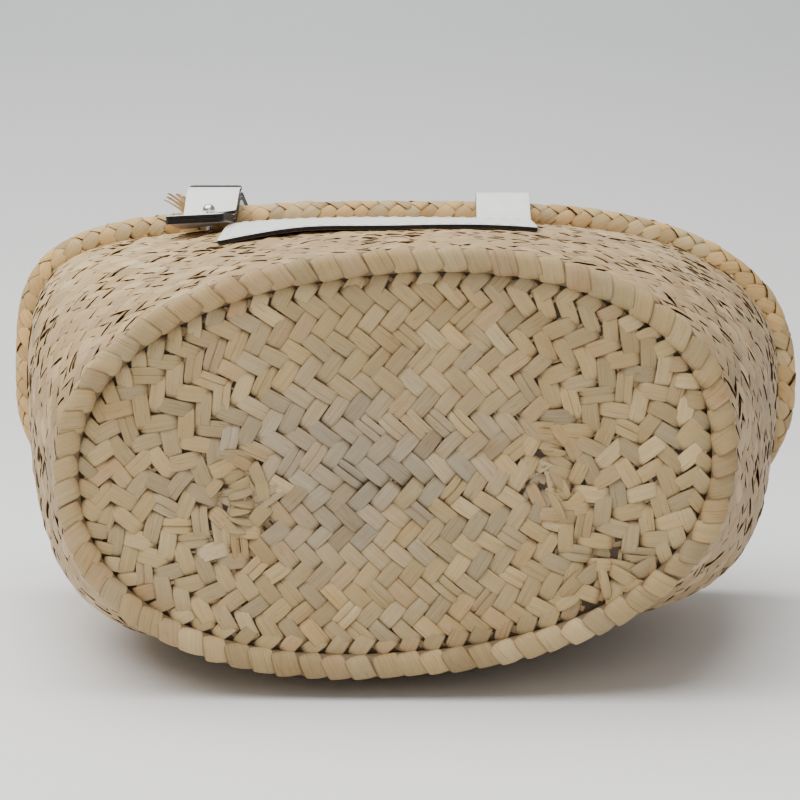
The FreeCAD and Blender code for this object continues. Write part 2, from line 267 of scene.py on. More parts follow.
def even_ring(x, y, count, offset):
    """Evenly spaced points round a closed line, moved outwards by an offset."""
    run = np.concatenate([[0.0], np.cumsum(np.hypot(np.diff(x), np.diff(y)))])
    even = np.arange(count) / count * run[-1]
    x = np.interp(even, run, x)
    y = np.interp(even, run, y)
    out_x, out_y = outward(x, y)
    return x + offset * out_x, y + offset * out_y


RING_ANGLES = np.linspace(-0.5 * np.pi, 1.5 * np.pi, 2881)
RING_POINTS = 720


def wall_ring(height, offset):
    """Points round the sagging wall at a height, from the middle of the front towards +X."""
    length, depth, exponent, share = wall_size(height)
    x, y = outline(length, depth, exponent, RING_ANGLES)
    part = np.clip(np.abs(x) / length, 0.0, 1.0)
    belly = back_bulge(height)
    front = np.where(x < 0, LEFT_FRONT_SQUARING, RIGHT_FRONT_SQUARING) * share
    back = BACK_SQUARING * share + BACK_BULGE_SQUARING * belly
    power = exponent + np.where(y < 0, front, back) * smooth(part, CORNER_START, 1.0)
    reach = np.where(y < 0, depth, depth + BACK_BULGE * belly)
    y = np.sign(y) * reach * (1.0 - part ** power) ** (1.0 / power)
    return even_ring(*settle(x, y, height), RING_POINTS, offset)


def foot_ring(offset, count=RING_POINTS):
    """Points round the foot, as it lies turned and shifted."""
    x, y = outline(FOOT_HALF_LENGTH, FOOT_HALF_DEPTH, FOOT_EXPONENT, RING_ANGLES)
    x, y = even_ring(x, y, count, offset)
    return settle(x, y, 0.0)


@functools.lru_cache(maxsize=None)
def face_line(height, side):
    """The wall's outer face at a height, in front or behind, as x and distance from the middle."""
    x, y = wall_ring(height, 0.0)
    half = y * side > 0
    order = np.argsort(x[half])
    return x[half][order], np.abs(y[half][order])


def wall_face(x, height, side):
    """How far the wall's outer face stands out at x: in front for side -1, behind for 1."""
    return np.interp(x, *face_line(round(float(height), 2), side))


class Sheet:
    """A table of points over rows and a closed run of columns, sampled smoothly."""

    def __init__(self, points, row_step, closed_rows=False):
        self.points = points
        self.row_step = row_step
        self.closed_rows = closed_rows
        along = np.roll(points, -1, axis=1) - np.roll(points, 1, axis=1)
        if closed_rows:
            up = np.roll(points, -1, axis=0) - np.roll(points, 1, axis=0)
        else:
            up = np.gradient(points, axis=0)
        self.along = unit(along)
        self.normals = unit(np.cross(along, up))
        self.lengths = np.linalg.norm(np.roll(points, -1, axis=1) - points, axis=2).sum(axis=1)

    def _mix(self, table, row, share):
        """Looks a table up between its rows and columns."""
        rows, columns = self.points.shape[:2]
        column = (share % 1.0) * columns
        c0 = np.floor(column).astype(int) % columns
        c1 = (c0 + 1) % columns
        cf = (column - np.floor(column))[..., None]
        if self.closed_rows:
            row = row % rows
            r0 = np.floor(row).astype(int) % rows
            r1 = (r0 + 1) % rows
        else:
            row = np.clip(row, 0, rows - 1.001)
            r0 = np.floor(row).astype(int)
            r1 = r0 + 1
        rf = (row - np.floor(row))[..., None]
        low = table[r0, c0] * (1 - cf) + table[r0, c1] * cf
        high = table[r1, c0] * (1 - cf) + table[r1, c1] * cf
        return low * (1 - rf) + high * rf

    def length_at(self, row):
        """The length of the closed run of columns at a row."""
        return np.interp(row, np.arange(len(self.lengths)), self.lengths)

    def place(self, run, rise, height):
        """Points at a share of the way round plus millimetres, and millimetres up the sheet."""
        row = rise / self.row_step
        position = self._mix(self.points, row, run)
        normal = unit(self._mix(self.normals, row, run))
        return position + normal * height[..., None]


def wall_sheet(offset):
    """The wall from bottom to top; rises are measured up the slope at its right end."""
    heights = np.linspace(WALL_BOTTOM - 2.0, WALL_TOP + 3.0, 96)
    rows = []
    for height in heights:
        x, y = wall_ring(height, offset)
        rows.append(np.stack([x, y, np.full_like(x, height)], axis=1))
    rows = np.array(rows)
    steps = len(heights) - 1
    slope = math.hypot(heights[1] - heights[0], (rows[-1, :, 0].max() - rows[0, :, 0].max()) / steps)
    return Sheet(rows, slope), slope * steps


def tube_sheet(x, y, height, half_width, half_height, squareness, steps=48):
    """A closed tube round an outline. Row 0 is its outermost line, rows then go up and over."""
    out_x, out_y = outward(x, y)
    rows = []
    for step in range(steps):
        reach, rise = outline(half_width, half_height, squareness, 2.0 * np.pi * step / steps)
        rows.append(np.stack([x + out_x * reach, y + out_y * reach, np.full_like(x, height + rise)], axis=1))
    girth = 2.0 * np.pi * math.sqrt((half_width ** 2 + half_height ** 2) / 2.0)
    return Sheet(np.array(rows), girth / steps, closed_rows=True), girth


# ---------------------------------------------------------------- strips

STRAW_YELLOW = (0.435, 0.318, 0.158)
STRAW_KHAKI = (0.392, 0.294, 0.148)
STRAW_GREY = (0.378, 0.292, 0.160)
STRAW_PINK = (0.428, 0.302, 0.160)
STRAW_PALE = (0.495, 0.380, 0.205)
STRAW_GOLD = (0.540, 0.365, 0.160)

# Colours and their shares in each part of the bag
BASE_MIX = ((STRAW_YELLOW, 0.38), (STRAW_KHAKI, 0.26), (STRAW_GREY, 0.12), (STRAW_PINK, 0.12),
            (STRAW_PALE, 0.12))
WALL_MIX = ((STRAW_YELLOW, 0.30), (STRAW_PALE, 0.28), (STRAW_KHAKI, 0.17), (STRAW_PINK, 0.20),
            (STRAW_GREY, 0.05))
RIM_MIX = ((STRAW_GOLD, 0.55), (STRAW_PALE, 0.25), (STRAW_YELLOW, 0.20))
# painted shade: the hidden cores are coloured dark so the gaps between the strips look shaded; the welt's
# core less dark
CORE_PAINTED_SHADE = (0.060, 0.040, 0.022)
WELT_CORE_PAINTED_SHADE = (0.170, 0.118, 0.062)
TINT_TABLE = 1024             # how many different strips the colours are drawn for


def tint_for(strip_ids, mix=BASE_MIX, lightness=1.0, seed=3):
    """One colour for each strip, so that a strip keeps its colour where it surfaces again."""
    local = np.random.default_rng(seed)
    colours = np.array([colour for colour, _ in mix])
    shares = np.array([share for _, share in mix])
    picks = local.choice(len(mix), TINT_TABLE, p=shares / shares.sum())
    shades = local.normal(1.0, 0.07, TINT_TABLE)
    ids = np.asarray(strip_ids) % TINT_TABLE
    tint = colours[picks[ids]] * shades[ids][:, None] * lightness
    tint = tint * (1.0 + jitter(0.045, len(ids)))[:, None]
    return np.clip(tint, 0.02, 0.9)


def woven_float(q, p):
    """Height of a float: nearly flat, its ends dipping under the neighbours."""
    return -2.4 * np.abs(q) ** 6 - 0.20 * np.abs(p) ** 3


def wall_float(q, p):
    """A float of the wall, where the leaf is stiffer and dips less."""
    return -1.5 * np.abs(q) ** 5 - 0.16 * np.abs(p) ** 3


def tab_profile(q, p):
    """A fold over the welt: its outer end dives into the wall, its inner end droops a little."""
    outer_end = 1.6 * np.clip(q, 0.0, 1.0) ** 7
    inner_end = 0.6 * np.clip(-q, 0.0, 1.0) ** 10
    return -outer_end - inner_end - 0.10 * np.abs(p) ** 5 - 0.30 * p


# Where a strip has points, from end to end and from edge to edge
ALONG = np.array([-1.0, -0.82, -0.5, 0.0, 0.5, 0.82, 1.0])
ACROSS = np.array([-1.0, -0.84, -0.3, 0.3, 0.84, 1.0])
LONG_ALONG = np.array([-1.0, -0.88, -0.7, -0.5, -0.25, 0.0, 0.25, 0.5, 0.7, 0.88, 1.0])


class Strips:
    """Collects strips, each a closed crowned sliver, and builds them as one mesh."""

    def __init__(self, along=ALONG):
        self.along = along
        self.points = []
        self.grain = []
        self.strip = []
        self.tint = []
        self.count = 0

    def add(self, place, length, width, tilt, lift, tint, profile=woven_float, bow=0.07, twist=None,
            taper=0.0, end_shade_strength=1.0):
        """place(ds, dt, height) puts millimetres along and across the row on the surface.

        q runs from -1 to 1 along a strip and p across it; profile(q, p) is its crown.
        """
        number = len(length)
        qq, pp = np.meshgrid(self.along, ACROSS, indexing="ij")
        qq = qq.ravel()[None, :]
        pp = pp.ravel()[None, :]
        narrowing = 1.0 + bow * (0.35 - qq ** 2) - 0.10 * np.abs(qq) ** 9 + taper * qq
        along = qq * (length / 2.0)[:, None] * (1.0 - 0.045 * np.abs(pp) ** 3)
        across = pp * narrowing * (width / 2.0)[:, None]
        lean = jitter(0.35, number)[:, None]
        across = across + lean * (qq ** 2 - 0.35)
        cos = np.cos(tilt)[:, None]
        sin = np.sin(tilt)[:, None]
        height = profile(qq, pp) + lift[:, None] + np.zeros_like(along)
        if twist is not None:
            height = height + twist[:, None] * pp
        points = place(along * cos - across * sin, along * sin + across * cos, height)
        self.points.append(points.reshape(-1, 3))
        seed = rng.uniform(0.0, 60.0, number)[:, None]
        flat = np.zeros_like(along)
        self.grain.append(np.stack([along, across, seed + flat], axis=-1).reshape(-1, 3))
        # the third value sets how much painted shade the strip's ends get
        self.strip.append(np.stack([qq + flat, pp + flat, end_shade_strength + flat], axis=-1).reshape(-1, 3))
        self.tint.append(np.repeat(tint, along.shape[1], axis=0))
        self.count += number

    def build(self, name, material, core=None, core_painted_shade=CORE_PAINTED_SHADE):
        """Makes the mesh, with the points and faces of a hidden core if there is one, coloured dark as
        painted shade.
        """
        rows, columns = len(self.along), len(ACROSS)
        size = rows * columns
        index = np.arange(size).reshape(rows, columns)
        border = np.concatenate([index[:, 0], index[-1, 1:], index[-2::-1, -1], index[0, -2:0:-1]])
        faces = []
        for start in range(0, self.count * size, size):
            faces += grid_faces(rows, columns, start)
            faces.append((np.roll(border, 1) + start).tolist())
        points = np.concatenate(self.points)
        grain = np.concatenate(self.grain)
        strip = np.concatenate(self.strip)
        tint = np.concatenate(self.tint)
        if core is not None:
            core_points, core_faces = core
            start = len(points)
            faces += [[corner + start for corner in face] for face in core_faces]
            points = np.concatenate([points, core_points])
            grain = np.concatenate([grain, core_points])
            strip = np.concatenate([strip, np.zeros_like(core_points)])
            tint = np.concatenate([tint, np.tile(core_painted_shade, (len(core_points), 1))])
        obj = add_mesh(name, points, faces, [material])
        sharpen_rims(obj, self.count, border, size)
        fix_normals(obj)
        set_attribute(obj, "grain", "FLOAT_VECTOR", grain)
        set_attribute(obj, "strip", "FLOAT_VECTOR", strip)
        set_attribute(obj, "tint", "FLOAT_COLOR", np.concatenate([tint, np.ones((len(tint), 1))], axis=1))
        return obj


def sharpen_rims(obj, count, border, size):
    """Marks the cut edge round each strip as sharp, so its top shades flat to the edge."""
    on_rim = np.zeros(len(obj.data.vertices), bool)
    starts = np.arange(count)[:, None] * size
    on_rim[(starts + border[None, :]).ravel()] = True
    ends = np.empty(len(obj.data.edges) * 2, np.int64)
    obj.data.edges.foreach_get("vertices", ends)
    ends = ends.reshape(-1, 2)
    obj.data.edges.foreach_set("use_edge_sharp", on_rim[ends].all(axis=1))


def fix_normals(obj):
    """Turns all faces outwards."""
    mesh = bmesh.new()
    mesh.from_mesh(obj.data)
    bmesh.ops.recalc_face_normals(mesh, faces=mesh.faces)
    mesh.to_mesh(obj.data)
    mesh.free()


def twill_rows(sheet, rise, first_tilt, bottom=0.0, top=1.0):
    """Centres of the floats of a herringbone on a closed sheet, in bands of even rows."""
    rows = int(round(rise / ROW))
    runs, rises, signs, ids = [], [], [], []
    count = 0
    for row in range(rows):
        level = (row + 0.5) * rise / rows
        if row % BAND_ROWS == 0:
            middle = level + (BAND_ROWS / 2.0) * ROW
            count = int(round(float(sheet.length_at(middle / sheet.row_step)) / PITCH))
        if not bottom <= row / rows < top:
            continue
        even = row % 2 == 0
        for step in range(count):
            runs.append((step + 0.5 * (row % 2)) / count)
            rises.append(level)
            signs.append(first_tilt if even else -first_tilt)
            ids.append(step + row // 2 + 300 if even else step - row // 2 + 700)
    return np.array(runs), np.array(rises), np.array(signs), np.array(ids)


def sheet_placer(sheet, runs, rises, facing=1.0):
    """Puts strips on a sheet; facing -1 lays them on its other side."""
    def place(ds, dt, height):
        rise = rises[:, None] + dt
        length = sheet.length_at(rise / sheet.row_step)
        return sheet.place(runs[:, None] + ds / length, rise, height * facing)
    return place


def split_some(share, number):
    """Picks floats that are one strip, and floats that are two narrower strips side by side.

    Gives a mask, how far the strips shift sideways and their share of the full width.
    """
    split = rng.random(number) < share
    shift = 0.25 * STRIP
    return ((~split, 0.0, 1.0), (split, -shift, SPLIT_WIDTH), (split, shift, SPLIT_WIDTH))


def add_twill(strips, sheet, rise, mix, seed, first_tilt=1.0, facing=1.0, shade=None, looseness=0.2,
              bottom=0.0, top=1.0):
    """Covers a sheet, or its rows between two shares of the way up, with the twill's floats."""
    runs, rises, signs, ids = twill_rows(sheet, rise, first_tilt, bottom, top)
    for mask, shift, narrow in split_some(WALL_SPLITS, len(runs)):
        number = int(mask.sum())
        around = sheet.length_at(rises[mask] / sheet.row_step)
        tilt = signs[mask] * TWILL + jitter(math.radians(2.6), number)
        width = WALL_STRIP * narrow * vary(0.05, number)
        run = runs[mask] - shift * np.sin(tilt) / around
        up = rises[mask] + shift * np.cos(tilt)
        tint = tint_for(ids[mask], mix, 1.0, seed)
        # the wall's painted light and its pink tint are multiplied into the floats' colour here
        if shade is not None:
            tint = tint * shade(run, up)
        length = (ROW * DIAGONAL + WALL_TUCK) * vary(0.025, number)
        lift = 0.12 + jitter(0.10, number)
        strips.add(sheet_placer(sheet, run, up, facing), length, width, tilt, lift, tint,
                   profile=wall_float, twist=jitter(looseness, number))


def shell_between(sheet, rise, outer, inner):
    """The hidden crossings inside a wall: a thin closed shell, up at one offset and down at another."""
    rows, columns = 40, 240
    levels = np.linspace(0.0, rise, rows)
    run, up = np.meshgrid(np.arange(columns) / columns, np.concatenate([levels, levels[::-1]]))
    offset = np.repeat([outer, inner], rows)[:, None] + np.zeros_like(run)
    points = sheet.place(run, up, offset).reshape(-1, 3)
    return points, grid_faces(2 * rows, columns, closed_rows=True, closed_columns=True)


def tube_core(tube, height):
    """The filling of a welt or braid: a closed tube just under its strips."""
    rows, columns = 24, 240
    girth = len(tube.points) * tube.row_step
    run, rise = np.meshgrid(np.arange(columns) / columns, np.arange(rows) / rows * girth)
    points = tube.place(run, rise, np.full_like(run, height)).reshape(-1, 3)
    return points, grid_faces(rows, columns, closed_rows=True, closed_columns=True)


# ---------------------------------------------------------------- materials

class Look:
    """A node material in the making: each method adds a node and hands back its output."""

    def __init__(self, name):
        self.material = bpy.data.materials.new(name)
        self.material.use_nodes = True
        self.nodes = self.material.node_tree.nodes
        self.links = self.material.node_tree.links
        self.shader = self.nodes["Principled BSDF"]
        self.place = self.node("TexCoord", "Object")

    def feed(self, sockets, values):
        """Puts numbers and colours into sockets, or links other nodes' outputs to them."""
        for slot, value in values.items():
            if isinstance(value, (int, float, tuple)):
                sockets[slot].default_value = value
            else:
                self.links.new(value, sockets[slot])

    def node(self, kind, output, inputs={}, **settings):
        node = self.nodes.new("ShaderNode" + kind)
        for name, value in settings.items():
            setattr(node, name, value)
        self.feed(node.inputs, inputs)
        return node.outputs[output]

    def math(self, kind, *values):
        return self.node("Math", 0, dict(enumerate(values)), operation=kind)

    def noise(self, vector, scale, detail, roughness):
        return self.node("TexNoise", "Fac", {"Vector": vector, "Scale": scale, "Detail": detail,
                                             "Roughness": roughness})

    def scaled(self, vector, scale):
        return self.node("VectorMath", 0, {0: vector, 1: scale}, operation="MULTIPLY")

    def mix(self, factor, first, second, blend="MIX"):
        return self.node("Mix", "Result", {"Factor": factor, "A": first, "B": second},
                         data_type="RGBA", blend_type=blend)

    def multiply(self, first, second):
        return self.mix(1.0, first, second, "MULTIPLY")

    def ramp(self, value, low, high):
        return self.node("MapRange", "Result", {"Value": value, "From Min": low, "From Max": high})

    def attribute(self, name, output):
        return self.node("Attribute", output, attribute_name=name)

    def part(self, vector, axis):
        return self.node("SeparateXYZ", axis, {0: vector})

    def thin_line(self, value, middle, width):
        """1 where a value is near the middle, falling to 0 at a width from it."""
        return self.ramp(self.math("ABSOLUTE", self.math("SUBTRACT", value, middle)), width, 0.0)

    def finish(self, colour, roughness, bump, others={}):
        """Sets the shader up; bump is a height, a strength and a depth in metres."""
        height, strength, distance = bump
        normal = self.node("Bump", "Normal", {"Height": height, "Strength": strength, "Distance": distance})
        self.feed(self.shader.inputs, {"Base Color": colour, "Roughness": roughness, "Normal": normal})
        self.feed(self.shader.inputs, others)
        return self.material


def straw_material():
    """Dry palm leaf: a colour for each strip, lengthwise veins, specks, and painted shade along each strip's
    edges and at its ends.
    """
    look = Look("palm_leaf")
    grain = look.attribute("grain", "Vector")
    strip = look.attribute("strip", "Vector")
    along = look.math("ABSOLUTE", look.part(strip, "X"))
    across = look.math("ABSOLUTE", look.part(strip, "Y"))
    # how much painted shade a strip's ends get
    end_shade_strength = look.part(strip, "Z")
    broad = look.noise(look.scaled(grain, (0.06, 0.75, 1.0)), 1.0, 2.0, 0.5)
    veins = look.noise(look.scaled(grain, (0.10, 2.8, 1.0)), 1.0, 3.0, 0.6)
    fibres = look.noise(look.scaled(grain, (0.22, 8.0, 1.0)), 1.0, 2.0, 0.5)
    creases = look.noise(look.scaled(grain, (0.02, 0.9, 1.0)), 1.0, 1.0, 0.5)
    blotch = look.noise(look.place, 42.0, 3.0, 0.6)
    specks = look.noise(look.place, 1500.0, 2.0, 0.6)
    shades = (
        (look.ramp(broad, 0.30, 0.70), (0.91, 0.89, 0.85, 1.0)),
        (look.ramp(veins, 0.40, 0.72), (0.91, 0.88, 0.83, 1.0)),
        (look.ramp(fibres, 0.35, 0.75), (0.95, 0.93, 0.90, 1.0)),
        (look.thin_line(creases, 0.50, 0.014), (0.74, 0.64, 0.52, 1.0)),
        (look.ramp(blotch, 0.50, 0.80), (0.90, 0.80, 0.68, 1.0)),
        (look.ramp(specks, 0.66, 0.74), (0.74, 0.60, 0.48, 1.0)),
        # painted shade: darker along each strip's long edges, where it meets its neighbours
        (look.ramp(across, 0.86, 1.0), (0.60, 0.50, 0.40, 1.0)),
        # painted shade: darker towards each strip's ends, where it dips under its neighbours, scaled by the
        # strip's third value
        (look.math("MULTIPLY", look.ramp(along, 0.66, 0.97), end_shade_strength), (0.62, 0.52, 0.42, 1.0)))
    colour = look.attribute("tint", "Color")
    for amount, shade in shades:
        colour = look.mix(amount, colour, look.multiply(colour, shade))
    return look.finish(colour, look.math("MULTIPLY_ADD", veins, 0.30, 0.42),
                       (look.math("MULTIPLY_ADD", fibres, 0.45, veins), 0.4, 0.0003),
                       {"Specular IOR Level": 0.30})


def leather_material():
    """White leather: pebbled grain, faint scuffs and a soft sheen."""
    look = Look("white_leather")
    pebble = look.node("TexVoronoi", "Distance", {"Scale": 1150.0, "Vector": look.place},
                       feature="SMOOTH_F1")
    scuff = look.noise(look.place, 60.0, 5.0, 0.65)
    cloud = look.noise(look.place, 9.0, 2.0, 0.5)
    colour = look.mix(look.ramp(scuff, 0.45, 0.75), (0.80, 0.80, 0.79, 1.0), (0.72, 0.715, 0.70, 1.0))
    colour = look.mix(look.ramp(cloud, 0.35, 0.70), colour, look.multiply(colour, (0.965, 0.96, 0.95, 1.0)))
    return look.finish(colour, look.math("MULTIPLY_ADD", scuff, 0.22, 0.36),
                       (look.math("MULTIPLY_ADD", scuff, 0.6, pebble), 0.35, 0.00025),
                       {"Specular IOR Level": 0.42})


def edge_material():
    """Black edge paint: slightly uneven and glossy."""
    look = Look("black_edge_paint")
    uneven = look.noise(look.place, 420.0, 3.0, 0.6)
    colour = look.mix(look.ramp(uneven, 0.35, 0.75), (0.006, 0.006, 0.006, 1.0), (0.016, 0.015, 0.014, 1.0))
    return look.finish(colour, look.math("MULTIPLY_ADD", uneven, 0.3, 0.40), (uneven, 0.3, 0.0002),
                       {"Specular IOR Level": 0.18})


def suede_material():
    """The flesh side of the leather: tan, napped and matt."""
    look = Look("tan_flesh_side")
    nap = look.noise(look.place, 700.0, 5.0, 0.7)
    cloud = look.noise(look.place, 45.0, 3.0, 0.6)
    colour = look.mix(look.ramp(nap, 0.3, 0.7), (0.40, 0.26, 0.16, 1.0), (0.56, 0.40, 0.27, 1.0))
    colour = look.mix(look.ramp(cloud, 0.4, 0.7), colour, (0.36, 0.25, 0.165, 1.0))
    return look.finish(colour, 0.92, (nap, 0.6, 0.0003), {"Specular IOR Level": 0.1, "Sheen Weight": 0.25})


def steel_material():
    """Polished nickel-like steel with hairline scratches."""
    look = Look("bright_steel")
    hair = look.noise(look.scaled(look.place, (1.0, 1.0, 9.0)), 900.0, 2.0, 0.5)
    haze = look.noise(look.place, 260.0, 3.0, 0.6)
    colour = look.mix(look.ramp(haze, 0.35, 0.7), (0.70, 0.70, 0.71, 1.0), (0.56, 0.56, 0.57, 1.0))
    return look.finish(colour, look.math("MULTIPLY_ADD", hair, 0.22, 0.08), (hair, 0.12, 0.0001),
                       {"Metallic": 1.0})


def thread_material():
    """Waxed white thread with a twisted lay."""
    look = Look("white_thread")
    lay = look.node("TexWave", "Fac", {"Scale": 900.0, "Distortion": 0.6, "Vector": look.place},
                    bands_direction="DIAGONAL")
    colour = look.mix(lay, (0.60, 0.58, 0.54, 1.0), (0.80, 0.79, 0.76, 1.0))
    return look.finish(colour, 0.6, (lay, 0.5, 0.0001))


STRAW = straw_material()
LEATHER_FACE = leather_material()
EDGE_PAINT = edge_material()
FLESH = suede_material()
STEEL = steel_material()
THREAD = thread_material()


def finish_piece(obj, nodes, body="basket"):
    """Hides the CAD nodes that the piece stands for, and lets it ride on a body."""
    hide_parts(*nodes)
    if body:
        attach(obj, body)


# ---------------------------------------------------------------- wall

OUTER_SHEET, WALL_RISE = wall_sheet(0.0)
INNER_SHEET, INNER_RISE = wall_sheet(-WALL_THICKNESS)
WALL_SPLIT = 0.5              # share of the rows in the lower piece
WALL_CORE = (-1.6, -2.4)      # the hidden crossings' outer and inner face
WALL_CORE_END = 3.0           # they stop this far below the wall's top


def wall_painted_light(runs, rises):
    """Partly painted light: the wall is painted paler at the left, where the key light falls, and darker at
    the right, more so near the mouth; the pinker tint at the right is the leaf's own.
    """
    right = (0.5 + 0.5 * np.cos(2.0 * np.pi * (runs - 0.22)))[:, None]
    left = 1.0 - right
    up = smooth(rises, 0.0, WALL_RISE)[:, None]
    # painted light: the left is painted paler, most near the mouth, which faces up to the light
    pale = np.array([1.02, 1.02, 1.06]) + up * np.array([0.28, 0.30, 0.34])
    pink = np.array([1.02, 1.00, 1.08]) + up * np.array([0.04, 0.06, 0.12])
    return pale * left + pink * right


def build_wall():
    """The wall: floats outside in two pieces, floats inside, and the hidden crossings between."""
    for name, bottom, top in (("woven_wall_lower", 0.0, WALL_SPLIT), ("woven_wall_upper", WALL_SPLIT, 1.0)):
        outside = Strips()
        # the outer floats get painted light: paler at the left and near the mouth, darker at the right
        add_twill(outside, OUTER_SHEET, WALL_RISE, WALL_MIX, 5, shade=wall_painted_light, looseness=0.30,
                  bottom=bottom, top=top)
        core = shell_between(OUTER_SHEET, WALL_RISE - WALL_CORE_END, *WALL_CORE) if bottom == 0.0 else None
        obj = outside.build(name, STRAW, core)
        finish_piece(obj, ["woven_wall"])
    inside = Strips()
    add_twill(inside, INNER_SHEET, INNER_RISE, WALL_MIX, 9, first_tilt=-1.0, facing=-1.0, looseness=0.15)
    obj = inside.build("woven_wall_inside", STRAW)
    finish_piece(obj, ["woven_wall"])


build_wall()


# ---------------------------------------------------------------- base

EDGE_LENGTH = FOOT_HALF_LENGTH - BASE_INSET
EDGE_DEPTH = FOOT_HALF_DEPTH - BASE_INSET
FRONT_ROW = 8.6               # row height between the spine and the front
BACK_ROW = 7.9
END_ROW = 8.1
END_RINGS = 7                 # rings that run right round the ends
FRONT_ROWS = 9
BACK_ROWS = 8
FOCUS_CLEAR = 11.5            # the twill stops this far from a focus
CORE_MARGIN = 8.5             # the hidden crossings run on into the welt
CORE_LEVELS = (1.7, 2.3)      # their lower and upper face, above the base's underside
FOCUS_CROWDING = 0.75         # the cleared places are longer across the base than along it
KNOT_CLEAR = 8.0
LOWERED = 0.7                 # how much deeper the crossings lie in a cleared place

# Round the foci: side, how many strips, and half the size of the oval that they lie on
PETALS = ((-1.0, 9, (10.5, 15.5)), (1.0, 10, (10.0, 18.5)))
# Side, how many strips, the stack's height and the strips' turn
FOLD_STACKS = ((-1.0, 8, 27.0, -0.12), (1.0, 9, 34.0, 0.75))


def base_waves(x, y):
    """The base isn't quite flat: it bulges and dips a little and is drawn in at the foci."""
    waves = 0.45 * np.sin(x / 23.0 + 0.6) * np.cos(y / 17.0) + 0.35 * np.sin(x / 11.0 - y / 13.0)
    left = np.exp(-((x + FOCUS_X) ** 2 / 60.0 + (y - SPINE_Y) ** 2 / 160.0))
    right = np.exp(-((x - FOCUS_X) ** 2 / 60.0 + (y - SPINE_Y) ** 2 / 220.0))
    knot = np.exp(-((x - KNOT[0]) ** 2 + (y - KNOT[1]) ** 2) / 70.0)
    return waves - 1.5 * (left + right) - 1.2 * knot


def base_edge_depth(x):
    """How far the base's twill reaches to the front and the back at x."""
    part = np.clip(np.abs(x) / EDGE_LENGTH, 0.0, 1.0)
    return EDGE_DEPTH * (1.0 - part ** FOOT_EXPONENT) ** (1.0 / FOOT_EXPONENT)


def reach_to_edge(angle, side):
    """Distance from a focus to the base's edge along a ray, by halving."""
    low = np.zeros_like(angle)
    high = np.full_like(angle, 200.0)
    for _ in range(24):
        middle = (low + high) / 2.0
        x = side * FOCUS_X + middle * np.cos(angle)
        y = SPINE_Y + middle * np.sin(angle)
        inside = (np.abs(y) < base_edge_depth(x)) & (np.abs(x) < EDGE_LENGTH)
        low = np.where(inside, middle, low)
        high = np.where(inside, high, middle)
    return low


def base_row(ring, side):
    """The straight stretch of a ring, in front of the spine (side -1) or behind it, towards +X."""
    x = np.linspace(-FOCUS_X, FOCUS_X, 64)
    row = FRONT_ROW if side < 0 else BACK_ROW
    return x, side * (base_edge_depth(x) - (ring + 0.5) * row)


def base_end(ring, side):
    """The round stretch of a ring at an end, from the front to the back."""
    turn = np.linspace(-math.pi / 2.0, math.pi / 2.0, 48)
    angle = turn if side > 0 else math.pi - turn
    blend = np.sin(turn)
    row = END_ROW + (np.where(blend < 0, FRONT_ROW, BACK_ROW) - END_ROW) * blend ** 2
    reach = reach_to_edge(angle, side) - (ring + 0.5) * row
    return side * FOCUS_X + reach * np.cos(angle), SPINE_Y + reach * np.sin(angle)


def along_line(x, y, count, phase):
    """Even stations along a line: places and directions."""
    run = np.concatenate([[0.0], np.cumsum(np.hypot(np.diff(x), np.diff(y)))])
    station = (np.arange(count) + phase) / count * run[-1]
    px = np.interp(station, run, x)
    py = np.interp(station, run, y)
    ahead = station + 1.5
    behind = station - 1.5
    direction = np.arctan2(np.interp(ahead, run, y) - np.interp(behind, run, y),
                           np.interp(ahead, run, x) - np.interp(behind, run, x))
    return np.stack([px, py], axis=1), direction, run[-1]


def base_rings():
    """Places, directions, tilts, row heights and strip ids of the base's floats, ring by ring."""
    parts = []
    for ring in range(FRONT_ROWS):
        sign = 1.0 if ring % 2 == 0 else -1.0
        phase = 0.5 * (ring % 2)
        front = base_row(ring, -1.0)
        back = base_row(ring, 1.0)
        if ring < END_RINGS:
            right = base_end(ring, 1.0)
            left = base_end(ring, -1.0)
            half = len(front[0]) // 2
            pieces = [(front[0][half:], front[1][half:]), right, (back[0][::-1], back[1][::-1]),
                      (left[0][::-1], left[1][::-1]), (front[0][:half], front[1][:half])]
            x = np.concatenate([piece[0] for piece in pieces] + [front[0][half:half + 1]])
            y = np.concatenate([piece[1] for piece in pieces] + [front[1][half:half + 1]])
            length = float(np.hypot(np.diff(x), np.diff(y)).sum())
            count = 2 * int(round(length / (2.0 * PITCH)))
            parts.append((along_line(x, y, count, phase + 0.01), sign, ring))
        else:
            count = int(round(2.0 * FOCUS_X / PITCH))
            parts.append((along_line(front[0], front[1], count, phase), sign, ring))
            if ring < BACK_ROWS:
                parts.append((along_line(back[0][::-1], back[1][::-1], count, phase), sign, ring))
    places = np.concatenate([part[0][0] for part in parts])
    directions = np.concatenate([part[0][1] for part in parts])
    signs = np.concatenate([np.full(len(part[0][1]), part[1]) for part in parts])
    ids = np.concatenate([np.arange(len(part[0][1])) + part[2] // 2 * (1 if part[1] > 0 else -1) +
                          (300 if part[1] > 0 else 700) for part in parts])
    rows = np.where(places[:, 1] < SPINE_Y, FRONT_ROW, BACK_ROW)
    return places, directions, signs, rows, ids


def flat_placer(places, directions, underside=True):
    """Puts strips on the base: facing down under it, or up inside the bag."""
    def place(ds, dt, height):
        cos = np.cos(directions)[:, None]
        sin = np.sin(directions)[:, None]
        x = places[:, 0:1] + ds * cos - dt * sin
        y = places[:, 1:2] + ds * sin + dt * cos
        waves = base_waves(x, y)
        z = BASE_UNDERSIDE - height - waves if underside else BASE_TOP + height - waves
        x, y = settle(x, y, 0.0)
        return np.stack([x, y, z], axis=-1)
    return place


